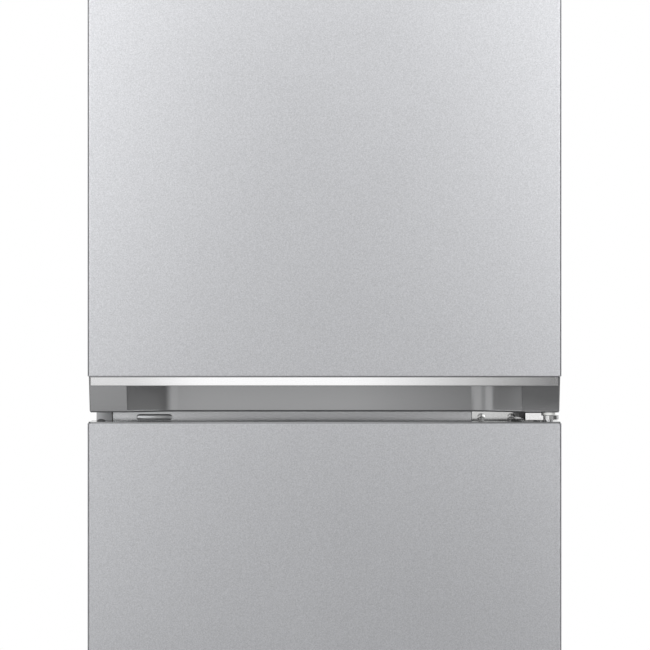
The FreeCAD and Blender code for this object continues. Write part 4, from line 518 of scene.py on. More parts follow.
COMPRESSOR_EDGE = 0.0012
DRIP_TRAY_EDGE = 0.0006
compressor_paint = surface("compressor_paint", PAINT_PEEL, scale=240.0,
                           tones=((0.016, 0.016, 0.018), (0.028, 0.028, 0.03)),
                           roughness=(0.28, 0.42), relief=0.00012)
eased("compressor", COMPRESSOR_EDGE, compressor_paint)
eased("drip_tray", DRIP_TRAY_EDGE, black_nylon)
copper = surface("copper_tube", HANDLING_MARKS, scale=60.0,
                 tones=((0.60, 0.27, 0.15), (0.82, 0.44, 0.28)), roughness=(0.24, 0.4),
                 relief=0.00001, sockets={"Metallic": 1.0})
coat(("refrigerant_tubes",), copper)

# Air path: a finned aluminium coil with its heater, behind a white moulded panel with the fan;
# a duct up the back of the fridge, with a flap that lets cold air in.


def drawn_pattern(tree, place, scale):
    lines = noise(tree, place, scale, detail=3.0, roughness=0.65)
    return spread(tree, lines, 0.3, 0.7), lines


DRAWN_LINES = effect("Drawn lines", drawn_pattern)
coil_aluminium = surface("coil_aluminium", DRAWN_LINES, scale=40.0,
                         tones=((0.70, 0.71, 0.72), (0.80, 0.81, 0.82)), roughness=(0.26, 0.38),
                         relief=0.00001, stretch=(4.0, 4.0, 60.0), sockets={"Metallic": 1.0})
coat(("evaporator",), coil_aluminium)
sheath_steel = surface("heater_sheath", DRAWN_LINES, scale=50.0,
                       tones=((0.36, 0.35, 0.34), (0.46, 0.45, 0.44)), roughness=(0.3, 0.45),
                       relief=0.00001, stretch=(2.0, 40.0, 40.0), sockets={"Metallic": 1.0})
coat(("defrost_heater",), sheath_steel)
AIR_PANEL_EDGE = 0.001
DUCT_EDGE = 0.0015
FLAP_EDGE = 0.0004
FAN_EDGE = 0.0005
eased("freezer_air_panel", AIR_PANEL_EDGE, white_liner)
eased("fridge_air_duct", DUCT_EDGE, white_liner)
eased("damper_flap", FLAP_EDGE, white_liner)
fan_plastic = surface("fan_plastic", MOULDED_STIPPLE, scale=900.0,
                      tones=((0.13, 0.135, 0.14), (0.17, 0.175, 0.18)), roughness=(0.34, 0.46),
                      relief=0.00002)
for fan_piece in ("fan_motor", "evaporator_fan"):
    eased(fan_piece, FAN_EDGE, fan_plastic)

# Shelves: toughened glass with ground edges, laid on the liner's ribs.
# Each fridge shelf has a white moulded bar pushed on to its front.

GROUND_EDGE = 0.0007
SHELF_BAR_EDGE = 0.0004
shelf_glass = surface("shelf_glass", HANDLING_MARKS, scale=7.0,
                      tones=((0.80, 0.93, 0.89), (0.84, 0.95, 0.92)), roughness=(0.015, 0.06),
                      sockets={"Transmission Weight": 1.0, "IOR": 1.52})
eased("glass_shelves", GROUND_EDGE, shelf_glass)
eased("shelf_trims", SHELF_BAR_EDGE, white_liner)

# Drawers and door bins: clear polystyrene trays, moulded in one piece with a rolled rim,
# a stiffening step round the walls, and a grip lip or two hooks.

clear_plastic = surface("clear_plastic", HANDLING_MARKS, scale=12.0,
                        tones=((0.92, 0.95, 0.97), (0.95, 0.97, 0.985)), roughness=(0.05, 0.1),
                        sockets={"Transmission Weight": 0.92, "IOR": 1.46})
TRAY_WALL = 0.0025
TRAY_TAPER = 0.004
TRAY_CORNER = 0.014
TRAY_CORNER_LEAST = 0.0015
TRAY_FLOOR_ROUND = 0.006
TRAY_STEP = 0.0014
TRAY_RIM = 0.0035
RIM_OVERHANG = 0.0025
RIM_OUTER_ROUND = 0.0012
RIM_INNER_ROUND = 0.001
CORNER_STEPS = 6
ARC_MIDDLE = 0.3


def rounded_loop(shape, low, high, inset, radius, height):
    """The points of a rounded rectangle in plan, drawn in by an inset."""
    radius = max(radius - inset, TRAY_CORNER_LEAST)
    ring = []
    corners = ((high.x, high.y, 0), (low.x, high.y, 1), (low.x, low.y, 2), (high.x, low.y, 3))
    for x, y, quarter in corners:
        centre_x = x - math.copysign(inset + radius, x - (low.x + high.x) / 2)
        centre_y = y - math.copysign(inset + radius, y - (low.y + high.y) / 2)
        for step in range(CORNER_STEPS + 1):
            angle = (quarter + step / CORNER_STEPS) * math.pi / 2
            ring.append(shape.verts.new((centre_x + radius * math.cos(angle),
                                         centre_y + radius * math.sin(angle), height)))
    return ring


def join_rings(shape, rings):
    """Four-sided faces from each ring of points to the next."""
    for ring, following in zip(rings, rings[1:]):
        for point in range(len(ring)):
            after = (point + 1) % len(ring)
            shape.faces.new((ring[point], ring[after], following[after], following[point]))


def tray_shape(low, high, step_height):
    """An open tray inside two corners, as rings from the underside, over the rim, to the floor inside."""
    shape = bmesh.new()
    outer = RIM_OVERHANG
    inner = RIM_OVERHANG + TRAY_WALL
    rim_inner = TRAY_RIM + TRAY_WALL
    floor_round = ARC_MIDDLE * TRAY_FLOOR_ROUND
    outside = [(TRAY_TAPER + outer + TRAY_FLOOR_ROUND, low.z),
               (TRAY_TAPER + outer + floor_round, low.z + floor_round),
               (TRAY_TAPER + outer, low.z + TRAY_FLOOR_ROUND),
               (outer + TRAY_STEP, step_height), (outer, step_height + 2 * TRAY_STEP),
               (outer, high.z - 2 * TRAY_RIM),
               (RIM_OUTER_ROUND / 2, high.z - 2 * TRAY_RIM + RIM_OUTER_ROUND / 2),
               (0.0, high.z - RIM_OUTER_ROUND)]
    inside = [(RIM_OUTER_ROUND, high.z), (rim_inner - 2 * RIM_INNER_ROUND, high.z),
              (rim_inner - RIM_INNER_ROUND, high.z - RIM_INNER_ROUND),
              (inner, step_height + 2 * TRAY_STEP), (inner + TRAY_STEP, step_height),
              (TRAY_TAPER + inner, low.z + TRAY_FLOOR_ROUND + TRAY_WALL),
              (TRAY_TAPER + inner + floor_round, low.z + floor_round + TRAY_WALL),
              (TRAY_TAPER + inner + TRAY_FLOOR_ROUND, low.z + TRAY_WALL)]
    rings = [rounded_loop(shape, low, high, inset, TRAY_CORNER, height)
             for inset, height in outside + inside]
    join_rings(shape, rings)
    shape.faces.new(list(reversed(rings[0])))
    shape.faces.new(rings[-1])
    return shape


def bar(shape, span, outline):
    """A bar along X with an outline of (y, z) points."""
    ends = [[shape.verts.new((x, y, z)) for y, z in outline] for x in span]
    join_rings(shape, ends)
    shape.faces.new(list(reversed(ends[0])))
    shape.faces.new(ends[1])


DRAWER_STEP_SHARE = 0.62
LIP_HALF = 0.07
LIP_REACH = 0.010
LIP_THICKNESS = 0.006
LIP_DROP = 0.006
LIP_ROUND = 0.002
LIP_HOLLOW = 0.0045
LIP_HOLLOW_RISE = 0.0025
LIP_ROOT_RISE = 0.0015
for drawer in ("crisper_drawer", "bottom_freezer_drawer", "middle_freezer_drawer", "top_freezer_drawer"):
    low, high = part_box(drawer)
    wall_low = Vector((low.x, low.y + LIP_REACH, low.z))
    shape = tray_shape(wall_low, high, low.z + DRAWER_STEP_SHARE * (high.z - low.z))
    lip_top = high.z - LIP_DROP
    lip_foot = lip_top - LIP_THICKNESS
    face = wall_low.y + RIM_OVERHANG
    bar(shape, (-LIP_HALF, LIP_HALF), [
        (face, lip_top), (low.y + LIP_ROUND, lip_top), (low.y, lip_top - LIP_ROUND), (low.y, lip_foot),
        (low.y + LIP_ROUND, lip_foot), (low.y + LIP_HOLLOW, lip_foot + LIP_HOLLOW_RISE),
        (face, lip_foot + LIP_ROOT_RISE)])
    formed(drawer, shape, clear_plastic)

BIN_STEP_DROP = 0.012
HOOK_REACH = 0.008
HOOK_SHEET = 0.006
HOOK_SETBACK = 0.026
HOOK_LENGTH = 0.016
HOOK_ROUND = 0.002
hook_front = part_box("fridge_door_liner")[0].y + HOOK_SETBACK
hook_back = hook_front + HOOK_LENGTH
for bin_name in ("bottle_bin", "middle_door_bin", "upper_door_bin"):
    low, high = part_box(bin_name)
    wall_low = Vector((low.x + HOOK_REACH, low.y, low.z))
    wall_high = Vector((high.x - HOOK_REACH, high.y, high.z))
    hook_foot = (low.z + high.z) / 2
    hook_top = hook_foot + HOOK_SHEET
    shape = tray_shape(wall_low, wall_high, hook_foot - BIN_STEP_DROP)
    for near, far in ((low.x, wall_low.x + TRAY_RIM), (wall_high.x - TRAY_RIM, high.x)):
        bar(shape, (near, far), [
            (hook_front, hook_foot), (hook_back, hook_foot), (hook_back, hook_top - HOOK_ROUND),
            (hook_back - HOOK_ROUND, hook_top), (hook_front + HOOK_ROUND, hook_top),
            (hook_front, hook_top - HOOK_ROUND)])
    formed(bin_name, shape, clear_plastic)

# Control panel and light: a gloss black housing for the controls, and behind it a clear cover with fine
# grooves over the lamp. Both are mouldings, clipped under the fridge ceiling.

PANEL_EDGE = 0.0008
LENS_EDGE = 0.0012
panel_black = surface("panel_black", HANDLING_MARKS, scale=18.0,
                      tones=((0.012, 0.012, 0.014), (0.02, 0.02, 0.023)), roughness=(0.06, 0.16))
eased("control_panel", PANEL_EDGE, panel_black)
lens_plastic = surface("lens_plastic", DRAWN_LINES, scale=60.0,
                       tones=((0.86, 0.87, 0.86), (0.92, 0.92, 0.91)), roughness=(0.2, 0.3),
                       relief=0.00005, stretch=(1.0, 8.0, 1.0),
                       sockets={"Transmission Weight": 0.5, "IOR": 1.46})
eased("ceiling_light_lens", LENS_EDGE, lens_plastic)

# Hinges: pressed steel brackets in bright zinc, with steel pins and cross-head screws. The middle one has
# a plate on the rail and an arm with a round boss for its pin; its faces that turn sideways get painted
# shade.
# A grey moulded cover hides the top hinge, and a small cover closes the rail's spare screw slot.

BRACKET_EDGE = 0.0006
for bracket in ("top_hinge_bracket", "bottom_hinge_bracket"):
    eased(bracket, BRACKET_EDGE, bright_zinc)
satin_zinc = surface("satin_zinc", ZINC_SPANGLE, scale=420.0,
                     tones=((0.77, 0.77, 0.765), (0.80, 0.80, 0.795)), roughness=(0.08, 0.12),
                     relief=0.000001, sockets={"Metallic": 0.9})
# Painted shade: the near-black tone, and the range of sideways facing over which the middle bracket takes
# it.
SIDE_SHADE_TONE = (0.03, 0.03, 0.032, 1.0)
SIDE_SHADE_FROM = 0.8
SIDE_SHADE_FULL = 0.95
PLATE_LEAN = 0.035
ARM_LEAN = 0.08
BOSS_RADIUS = 0.013
BOSS_HALF = 0.008
BOSS_STEPS = 8
BOSS_GAP = 0.0001


def lean(shape, angle, top, chosen):
    """Draw the lower points of a front face forward, so that it faces up a little."""
    for vert in shape.verts:
        if chosen(vert.co):
            vert.co.y -= angle * (top - vert.co.z)


def keep_flat(piece):
    """Shading normals that follow the large faces, so that a narrow rounding doesn't bend them."""
    piece.modifiers.new("Flat faces", "WEIGHTED_NORMAL").keep_sharp = True
    return piece


# Painted shade: the middle bracket's faces that turn sideways are darkened towards near-black, in base
# colour and specular tint alike, standing in for the shade between its plate and arm.
zinc_tree = satin_zinc.node_tree
zinc_shader = zinc_tree.nodes["Principled BSDF"]
facing = add(zinc_tree, "ShaderNodeTexCoord").outputs["Normal"]
sideways = add(zinc_tree, "ShaderNodeSeparateXYZ", {"Vector": facing}).outputs["X"]
sideways = add(zinc_tree, "ShaderNodeMath", {0: sideways}, operation="ABSOLUTE").outputs[0]
painted_side_shade = spread(zinc_tree, sideways, SIDE_SHADE_FROM, SIDE_SHADE_FULL)
coated = zinc_shader.inputs["Base Color"].links[0].from_socket
for socket, given in (("Base Color", coated), ("Specular Tint", (1.0, 1.0, 1.0, 1.0))):
    zinc_tree.links.new(toned(zinc_tree, painted_side_shade, given, SIDE_SHADE_TONE), zinc_shader.inputs[socket])

bracket_low, bracket_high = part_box("middle_hinge_bracket")
bracket_shape = built_shape("middle_hinge_bracket")
plate_front = min(vert.co.y for vert in bracket_shape.verts
                  if vert.co.z < bracket_low.z + MERGE_DISTANCE)
arm_top = max(vert.co.z for vert in bracket_shape.verts if vert.co.y < bracket_low.y + MERGE_DISTANCE)
lean(bracket_shape, PLATE_LEAN, bracket_high.z,
     lambda place: abs(place.y - plate_front) < MERGE_DISTANCE)
pin_low, pin_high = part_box("hinge_pins")
pin_x = (pin_low.x + pin_high.x) / 2
boss_start = pin_x - BOSS_HALF
boss_cuts = [pin_x - BOSS_HALF * (1 - step / BOSS_STEPS) for step in range(BOSS_STEPS)]
arm_faces = [min(bracket_shape.faces, key=lambda face: face.calc_center_bounds().y)]
for cut_x in (boss_start - BOSS_GAP, *boss_cuts):
    cut = [part for face in arm_faces for part in (face, *face.edges, *face.verts)]
    parts = bmesh.ops.bisect_plane(bracket_shape, geom=list(dict.fromkeys(cut)),
                                   plane_co=(cut_x, 0.0, 0.0), plane_no=(1.0, 0.0, 0.0))
    arm_faces = [part for part in parts["geom"] if isinstance(part, bmesh.types.BMFace)]
lean(bracket_shape, ARM_LEAN, arm_top,
     lambda place: place.y < bracket_low.y + MERGE_DISTANCE and place.x < boss_start - BOSS_GAP / 2)
for vert in {vert for face in arm_faces for vert in face.verts}:
    off_centre = pin_x - vert.co.x
    if MERGE_DISTANCE < off_centre < BOSS_HALF + MERGE_DISTANCE:
        vert.co.y += BOSS_RADIUS - math.sqrt(BOSS_RADIUS ** 2 - off_centre ** 2)
eased("middle_hinge_bracket", BRACKET_EDGE, satin_zinc, shape=bracket_shape)

SCREW_EDGE = 0.00025
SCREW_RISE = 0.15
SCREW_REACH = 0.006
CROSS_SIDES = 12
CROSS_TAPER = 0.45
CROSS_DEPTH = 0.0016
screws_shape = built_shape("hinge_screws")
cross_floors = [face for face in screws_shape.faces if len(face.verts) == CROSS_SIDES]
plate_screw = min((face.calc_center_median() for face in cross_floors),
                  key=lambda place: abs(place.z - (bracket_low.z + bracket_high.z) / 2))
for floor_face in cross_floors:
    centre = floor_face.calc_center_median()
    inward = -CROSS_DEPTH * floor_face.normal
    for vert in floor_face.verts:
        vert.co = centre + CROSS_TAPER * (vert.co - centre) + inward


def on_plate(place):
    return place.y < plate_front and abs(place.z - plate_screw.z) < SCREW_REACH


for vert in screws_shape.verts:
    if on_plate(vert.co):
        vert.co.y = plate_front + SCREW_RISE * (vert.co.y - plate_front)
lean(screws_shape, PLATE_LEAN, bracket_high.z, on_plate)
screw_zinc = surface("screw_zinc", ZINC_SPANGLE, scale=420.0,
                     tones=((0.74, 0.74, 0.735), (0.78, 0.78, 0.775)), roughness=(0.12, 0.16),
                     relief=0.000001, sockets={"Metallic": 0.9})
keep_flat(eased("hinge_screws", SCREW_EDGE, screw_zinc, shape=screws_shape))
pin_steel = surface("pin_steel", DRAWN_LINES, scale=60.0,
                    tones=((0.62, 0.62, 0.63), (0.70, 0.70, 0.71)), roughness=(0.16, 0.26),
                    relief=0.000005, stretch=(1.0, 1.0, 12.0), sockets={"Metallic": 1.0})
coat(("hinge_pins",), pin_steel)

TOP_COVER_EDGE = 0.0003
grey_moulding = surface("grey_moulding", MOULDED_STIPPLE, scale=1300.0,
                        tones=((0.44, 0.445, 0.455), (0.50, 0.505, 0.515)), roughness=(0.24, 0.34),
                        relief=0.00001, sockets={"Metallic": 0.6})
eased("top_hinge_cover", TOP_COVER_EDGE, grey_moulding)

SLOT_LEAN = 0.08
SLOT_RIM = ((0.0, 0.0), (0.0, 0.55), (0.0004, 0.85), (0.0013, 1.0))
SLOT_STEPS = 12
slot_low, slot_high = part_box("rail_slot_cover")
slot_round = (slot_high.z - slot_low.z) / 2
slot_shape = bmesh.new()
slot_rings = []
for inset, rise in SLOT_RIM:
    reach = slot_round - inset
    ring = []
    for centre, turn in ((slot_high.x - slot_round, -0.5), (slot_low.x + slot_round, 0.5)):
        for step in range(SLOT_STEPS + 1):
            angle = math.pi * (turn + step / SLOT_STEPS)
            height = slot_round + reach * math.sin(angle)
            tilt = SLOT_LEAN * (height - slot_round) * rise
            depth = slot_high.y + (slot_low.y - slot_high.y) * rise + tilt
            ring.append(slot_shape.verts.new((centre + reach * math.cos(angle), depth,
                                              slot_low.z + height)))
    slot_rings.append(ring)
join_rings(slot_shape, slot_rings)
slot_shape.faces.new(slot_rings[0])
slot_shape.faces.new(slot_rings[-1])
pale_moulding = surface("pale_moulding", MOULDED_STIPPLE, scale=1300.0,
                        tones=((0.54, 0.545, 0.555), (0.58, 0.585, 0.595)), roughness=(0.22, 0.28),
                        relief=0.000006, sockets={"Metallic": 0.7})
formed("rail_slot_cover", slot_shape, pale_moulding)

# Door skins: steel with a fine-grained silver coating, folded back along both sides over a 4 mm radius.
# The fridge door's lower edge is rolled in above the grip.

FLAKE_FINENESS = 4.0
FLAKE_SHARE = 0.35


def speckle_pattern(tree, place, scale):
    fine = noise(tree, place, scale, detail=2.0, roughness=0.7)
    finer = add(tree, "ShaderNodeMath", {0: scale, 1: FLAKE_FINENESS}, operation="MULTIPLY").outputs[0]
    flakes = add(tree, "ShaderNodeTexVoronoi", {"Vector": place, "Scale": finer})
    flake = add(tree, "ShaderNodeSeparateColor", {"Color": flakes.outputs["Color"]}).outputs["Red"]
    both = add(tree, "ShaderNodeMix", {0: FLAKE_SHARE, 2: spread(tree, fine, 0.3, 0.7), 3: flake})
    return both.outputs[0], fine


FINE_SPECKLE = effect("Fine speckle", speckle_pattern)
silver_coat = surface("silver_coat", FINE_SPECKLE, scale=620.0,
                      tones=((0.39, 0.395, 0.41), (0.612, 0.617, 0.637)), roughness=(0.37, 0.39),
                      relief=0.000004, sockets={"Metallic": 0.85})
FOLD_RADIUS = 0.004
FOLD_STEPS = 8
SKIN_SHEET = 0.0008
HEM_RADIUS = 0.0012
HEM_STEPS = 4
HEM_RETURN = 0.0036


def skin_shape(low, high, hem):
    """A folded front: an outline in plan, drawn up from its lower edge, which may roll in under it."""
    outline = [(high.x, high.y)]
    for side, start in ((1, 0.0), (-1, math.pi / 2)):
        for step in range(FOLD_STEPS + 1):
            angle = start + math.pi / 2 * step / FOLD_STEPS
            outline.append((side * (high.x - FOLD_RADIUS) + FOLD_RADIUS * math.cos(angle),
                            low.y + FOLD_RADIUS - FOLD_RADIUS * math.sin(angle)))
    outline.append((low.x, high.y))
    levels = [(0.0, high.z), (0.0, low.z)]
    if hem:
        angles = [math.pi / 2 * step / HEM_STEPS for step in range(HEM_STEPS + 1)]
        rolled = [(HEM_RADIUS * (1 - math.cos(angle)), low.z + HEM_RADIUS * (1 - math.sin(angle)))
                  for angle in angles]
        levels = [(0.0, high.z), *rolled, (HEM_RADIUS + HEM_RETURN, low.z)]
    shape = bmesh.new()
    rings = [[shape.verts.new((x, min(y + back, high.y), z)) for x, y in outline] for back, z in levels]
    for upper, lower in zip(rings, rings[1:]):
        for point in range(len(outline) - 1):
            shape.faces.new((upper[point], upper[point + 1], lower[point + 1], lower[point]))
    shape.normal_update()
    bmesh.ops.solidify(shape, geom=shape.faces[:], thickness=SKIN_SHEET)
    return shape


for skin, hem in (("fridge_door_skin", True), ("freezer_door_skin", False)):
    low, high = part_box(skin)
    keep_flat(formed(skin, skin_shape(low, high, hem), silver_coat))

# Door caps and grip: ABS mouldings that close the doors above and below. The grip along the fridge
# door's lower edge is dark, with a long finger recess whose ends curve forward, and a bright metal strip.
# A dark plug closes the spare hinge hole, and acetal bushes run on the pins.

CAP_EDGE = 0.0006
cap_moulding = surface("cap_moulding", MOULDED_STIPPLE, scale=1300.0,
                       tones=((0.30, 0.305, 0.31), (0.34, 0.345, 0.35)), roughness=(0.07, 0.1),
                       relief=0.000002, sockets={"Metallic": 0.6})
for cap in ("fridge_door_top_cap", "freezer_door_top_cap", "freezer_door_bottom_cap"):
    eased(cap, CAP_EDGE, cap_moulding)

dark_grip = surface("dark_grip", MOULDED_STIPPLE, scale=1500.0,
                    tones=((0.30, 0.302, 0.306), (0.34, 0.342, 0.346)), roughness=(0.08, 0.11),
                    relief=0.000001, sockets={"Metallic": 0.8})
RECESS_HALF = 0.249
RECESS_CURVE = 0.062
END_STRAIGHT = 0.036
BELOW_STRIP = 0.003
RIM_DROP = 0.0014
RIM_ROUND = 0.0024
GRIP_EDGE = 0.0012
GRIP_STEPS = 3
strip_low, strip_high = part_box("handle_trim")
grip_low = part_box("handle_grip")[0]
grip_shape = built_shape("handle_grip")
recess_flat = RECESS_HALF - RECESS_CURVE
recess_back = max(vert.co.y for vert in grip_shape.verts
                  if abs(abs(vert.co.x) - recess_flat) < MERGE_DISTANCE
                  and vert.co.z < strip_low.z - BELOW_STRIP)
recess_step = max(vert.co.y for vert in grip_shape.verts
                  if abs(abs(vert.co.x) - RECESS_HALF) < MERGE_DISTANCE)
end_bend = RECESS_CURVE - END_STRAIGHT
end_slope = (recess_back - recess_step) / (END_STRAIGHT + end_bend / 2)
for vert in grip_shape.verts:
    if recess_flat < abs(vert.co.x) < RECESS_HALF - MERGE_DISTANCE:
        along = RECESS_HALF - abs(vert.co.x)
        bend = max(along - END_STRAIGHT, 0.0)
        vert.co.y = recess_step + end_slope * (along - bend * bend / (2 * end_bend))
bmesh.ops.remove_doubles(grip_shape, verts=grip_shape.verts, dist=MERGE_DISTANCE)
for vert in grip_shape.verts:
    if vert.co.z < grip_low.z + MERGE_DISTANCE:
        vert.co.z -= RIM_DROP
rim = [line for line in grip_shape.edges if line.calc_face_angle(0.0) > CREASE_ANGLE and
       all(vert.co.z < grip_low.z - RIM_DROP / 2 and vert.co.y < recess_back + MERGE_DISTANCE
           for vert in line.verts)]
bmesh.ops.bevel(grip_shape, geom=rim, offset=RIM_ROUND, offset_type="OFFSET", segments=GRIP_STEPS,
                profile=0.5, affect="EDGES", clamp_overlap=False)
keep_flat(eased("handle_grip", GRIP_EDGE, dark_grip, steps=GRIP_STEPS, shape=grip_shape))

bright_strip = surface("bright_strip", DRAWN_LINES, scale=90.0,
                       tones=((0.96, 0.96, 0.965), (0.99, 0.99, 0.995)), roughness=(0.08, 0.11),
                       relief=0.000001, stretch=(0.4, 30.0, 30.0), sockets={"Metallic": 1.0})
STRIP_EDGE = 0.0003
STRIP_SEAT = 0.0003
strip_foot = strip_low.z - STRIP_SEAT
strip_arc = ARC_MIDDLE * STRIP_EDGE
strip_shape = bmesh.new()
bar(strip_shape, (strip_low.x, strip_high.x), [
    (strip_high.y, strip_high.z), (strip_low.y + STRIP_EDGE, strip_high.z),
    (strip_low.y + strip_arc, strip_high.z - strip_arc), (strip_low.y, strip_high.z - STRIP_EDGE),
    (strip_low.y, strip_foot + STRIP_EDGE), (strip_low.y + strip_arc, strip_foot + strip_arc),
    (strip_low.y + STRIP_EDGE, strip_foot), (strip_high.y, strip_foot)])
formed("handle_trim", strip_shape, bright_strip).data.shade_flat()

dark_plug = surface("dark_plug", MOULDED_STIPPLE, scale=1200.0,
                    tones=((0.1, 0.1, 0.104), (0.13, 0.13, 0.134)), roughness=(0.35, 0.5),
                    relief=0.00002)
coat(("hinge_hole_plug",), dark_plug)
bush_acetal = surface("bush_acetal", MOULDED_STIPPLE, scale=900.0,
                      tones=((0.78, 0.78, 0.76), (0.84, 0.84, 0.82)), roughness=(0.3, 0.42),
                      relief=0.00001)
coat(("fridge_door_bushes", "freezer_door_bushes"), bush_acetal)

# Door liners: white formed sheets on the backs of the doors. The fridge door's has two upright walls
# whose lugs carry the bins, and the freezer door's has a raised middle.

BIN_WALL_EDGE = 0.0009
RAISED_EDGE = 0.004
LONG_EDGE = 0.3
DOOR_LINER_STEPS = 3
eased("fridge_door_liner", BIN_WALL_EDGE, white_liner, steps=DOOR_LINER_STEPS)
eased("freezer_door_liner", RAISED_EDGE, white_liner, lambda line: rounding(line, LONG_EDGE),
      steps=DOOR_LINER_STEPS)

# Door gaskets: grey magnetic seals, extruded, cut at 45 degrees and welded at the corners. A foot is
# pressed into the door liner, bellows give way, and a bead with the magnet meets the cabinet.

gasket_vinyl = surface("gasket_vinyl", MOULDED_STIPPLE, scale=800.0,
                       tones=((0.36, 0.365, 0.37), (0.42, 0.425, 0.43)), roughness=(0.45, 0.6),
                       relief=0.00002)
GASKET_WIDTH = 0.017
HALF_SECTION = [(0.0, 0.0), (0.0, 0.0022), (0.0015, 0.003), (0.0034, 0.0032), (0.004, 0.0044),
                (0.0024, 0.0054), (0.004, 0.0064), (0.0028, 0.0072), (0.0006, 0.0077), (0.0, 0.0084),
                (0.0, 0.0109), (0.0008, 0.0117)]
gasket_section = HALF_SECTION + [(GASKET_WIDTH - across, depth) for across, depth in reversed(HALF_SECTION)]
for gasket in ("fridge_door_gasket", "freezer_door_gasket"):
    low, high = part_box(gasket)
    shape = bmesh.new()
    corner_rings = []
    for on_left, at_foot in ((True, True), (False, True), (False, False), (True, False)):
        corner_rings.append([shape.verts.new((low.x + across if on_left else high.x - across,
                                              low.y + depth,
                                              low.z + across if at_foot else high.z - across))
                             for across, depth in gasket_section])
    join_rings(shape, corner_rings + corner_rings[:1])
    formed(gasket, shape, gasket_vinyl)

# Studio: a pale floor that fades to white behind the object, soft lamps at both sides, low down and
# above, a white surround, and boards that only reflections see, for the bands in the metal.

FLOOR_MIDDLE = (0.0, -2.5, 0.0)
FLOOR_SIZE = 3.95
FLOOR_PLAIN = 2.95
FLOOR_FADED = 3.9
FLOOR_STEPS = 96
floor_shape = bmesh.new()
bmesh.ops.create_circle(floor_shape, cap_ends=True, radius=FLOOR_SIZE, segments=FLOOR_STEPS,
                        matrix=Matrix.Translation(FLOOR_MIDDLE))
pale_floor = surface("pale_floor", PAINT_PEEL, scale=30.0,
                     tones=((0.64, 0.64, 0.64), (0.67, 0.67, 0.67)), roughness=(0.6, 0.7))
WHITE = (1.0, 1.0, 1.0, 1.0)


def watched_share(tree):
    """1 for the rays that see a background: from the camera, mirrored or through glass."""
    rays = add(tree, "ShaderNodeLightPath").outputs
    watched = rays["Is Camera Ray"]
    for ray in ("Is Glossy Ray", "Is Transmission Ray"):
        watched = add(tree, "ShaderNodeMath", {0: watched, 1: rays[ray]}, operation="MAXIMUM").outputs[0]
    return watched


floor_tree = pale_floor.node_tree
floor_place = add(floor_tree, "ShaderNodeTexCoord").outputs["Object"]
reach = add(floor_tree, "ShaderNodeVectorMath", {0: floor_place, 1: FLOOR_MIDDLE}, operation="DISTANCE")
edge = spread(floor_tree, reach.outputs["Value"], FLOOR_PLAIN, FLOOR_FADED)
faded = add(floor_tree, "ShaderNodeMath", {0: edge, 1: watched_share(floor_tree)}, operation="MULTIPLY")
backdrop = add(floor_tree, "ShaderNodeEmission", {"Color": WHITE, "Strength": 1.0})
floor_mix = add(floor_tree, "ShaderNodeMixShader", {0: faded.outputs[0],
                                                    1: floor_tree.nodes["Principled BSDF"].outputs[0],
                                                    2: backdrop.outputs[0]})
floor_tree.links.new(floor_mix.outputs[0], floor_tree.nodes["Material Output"].inputs["Surface"])
made("floor", floor_shape, pale_floor)


def lamp(name, place, target, size, watts):
    light = bpy.data.lights.new(name, "AREA")
    light.shape = "RECTANGLE"
    light.size, light.size_y = size
    light.energy = watts
    source = bpy.data.objects.new(name, light)
    source.location = place
    source.rotation_euler = (Vector(target) - Vector(place)).to_track_quat("-Z", "Y").to_euler()
    bpy.context.scene.collection.objects.link(source)


SOFTBOX_PLACE = Vector((1.8, -3.0, 1.95))
SOFTBOX_TARGET = (0.0, 0.0, 1.1)
SOFTBOX_SIZE = (2.2, 2.3)
LOW_PLACE = Vector((1.5, -3.0, 0.2))
LOW_TARGET = (0.0, 0.0, 0.4)
LOW_SIZE = (1.0, 0.3)
MIRROR = Vector((-1.0, 1.0, 1.0))
lamp("left_softbox", SOFTBOX_PLACE * MIRROR, SOFTBOX_TARGET, SOFTBOX_SIZE, watts=25.5)
lamp("right_softbox", SOFTBOX_PLACE, SOFTBOX_TARGET, SOFTBOX_SIZE, watts=24)
lamp("left_low_strip", LOW_PLACE * MIRROR, LOW_TARGET, LOW_SIZE, watts=2.5)
lamp("right_low_strip", LOW_PLACE, LOW_TARGET, LOW_SIZE, watts=3.4)
lamp("top_softbox", (0.0, -3.5, 3.1), target=(0.0, -0.2, 1.0), size=(3.0, 1.6), watts=12)


def board(name, corners, shade, fade=None):
    """A studio board that only reflections see, plain or fading to white along X."""
    shape = bmesh.new()
    shape.faces.new([shape.verts.new(corner) for corner in corners])
    material = bpy.data.materials.new(name)
    material.use_nodes = True
    tree = material.node_tree
    tree.nodes.clear()
    glow = add(tree, "ShaderNodeEmission", {"Color": (shade, shade, shade, 1.0), "Strength": 1.0})
    if fade:
        place = add(tree, "ShaderNodeTexCoord").outputs["Object"]
        along = add(tree, "ShaderNodeSeparateXYZ", {"Vector": place}).outputs["X"]
        tree.links.new(spread(tree, along, *fade, 1.0, shade), glow.inputs["Color"])
    add(tree, "ShaderNodeOutputMaterial", {"Surface": glow.outputs[0]})
    piece = made(name, shape, material)
    piece.visible_camera = False
    piece.visible_diffuse = False
    piece.visible_transmission = False
    piece.visible_shadow = False


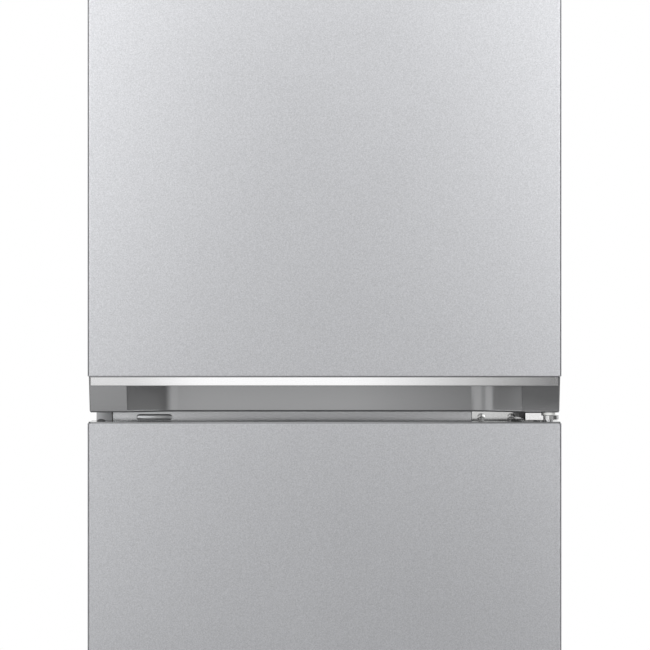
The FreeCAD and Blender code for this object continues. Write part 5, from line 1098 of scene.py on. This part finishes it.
def facing_doors(front, near, far, foot, top):
    """The corners of a board that stands across the view."""
    return [(near, front, foot), (far, front, foot), (far, front, top), (near, front, top)]


SIDE_BOARD_X = 1.4
SIDE_BOARD_OUTLINE = ((-1.2, 0.1), (0.0, 0.1), (0.0, 1.6), (-1.2, 1.6))
for side in (-1, 1):
    corners = [(side * SIDE_BOARD_X, along, height) for along, height in SIDE_BOARD_OUTLINE]
    board(f"edge_flag_{side + 1}", corners, shade=0.06)

FAR_FRONT = -5.0
FAR_EDGES = (0.2, 0.72)
for name, near, far, dark_from, shade in (("right_flag", 0.16, 7.0, 1.05, 0.18),
                                          ("left_inner_flag", -0.6, -1.35, -0.9, 0.66),
                                          ("left_outer_flag", -2.1, -7.0, -2.2, 0.2)):
    board(name, facing_doors(FAR_FRONT, near, far, *FAR_EDGES), shade, fade=(near, dark_from))
board("low_flag", facing_doors(front=-2.2, near=-0.95, far=0.95, foot=0.0, top=0.3), shade=0.17,
      fade=(-0.95, 0.5))
board("centre_flag", facing_doors(FAR_FRONT, near=-0.6, far=0.6, foot=0.9, top=2.6), shade=0.3)

world = bpy.data.worlds.new("studio")
bpy.context.scene.world = world
world.use_nodes = True
sky = world.node_tree
sky.nodes.clear()
soft = add(sky, "ShaderNodeBackground", {"Color": WHITE, "Strength": 0.5})
white = add(sky, "ShaderNodeBackground", {"Color": WHITE, "Strength": 1.0})
mixed = add(sky, "ShaderNodeMixShader", {0: watched_share(sky), 1: soft.outputs[0], 2: white.outputs[0]})
add(sky, "ShaderNodeOutputWorld", {"Surface": mixed.outputs[0]})

# Camera: straight on and level with the middle of the photograph, two metres from the object's middle,
# with a lens that gives the photograph's scale.

camera_data = bpy.data.cameras.new("camera")
camera_data.lens = 76.4
camera_data.sensor_width = 36.0
camera = bpy.data.objects.new("camera", camera_data)
camera.location = (0.0006, -2.0615, 0.8365)
camera.rotation_euler = (math.pi / 2, 0.0, 0.0)
bpy.context.scene.collection.objects.link(camera)
bpy.context.scene.camera = camera
bpy.context.scene.view_settings.view_transform = "Standard"
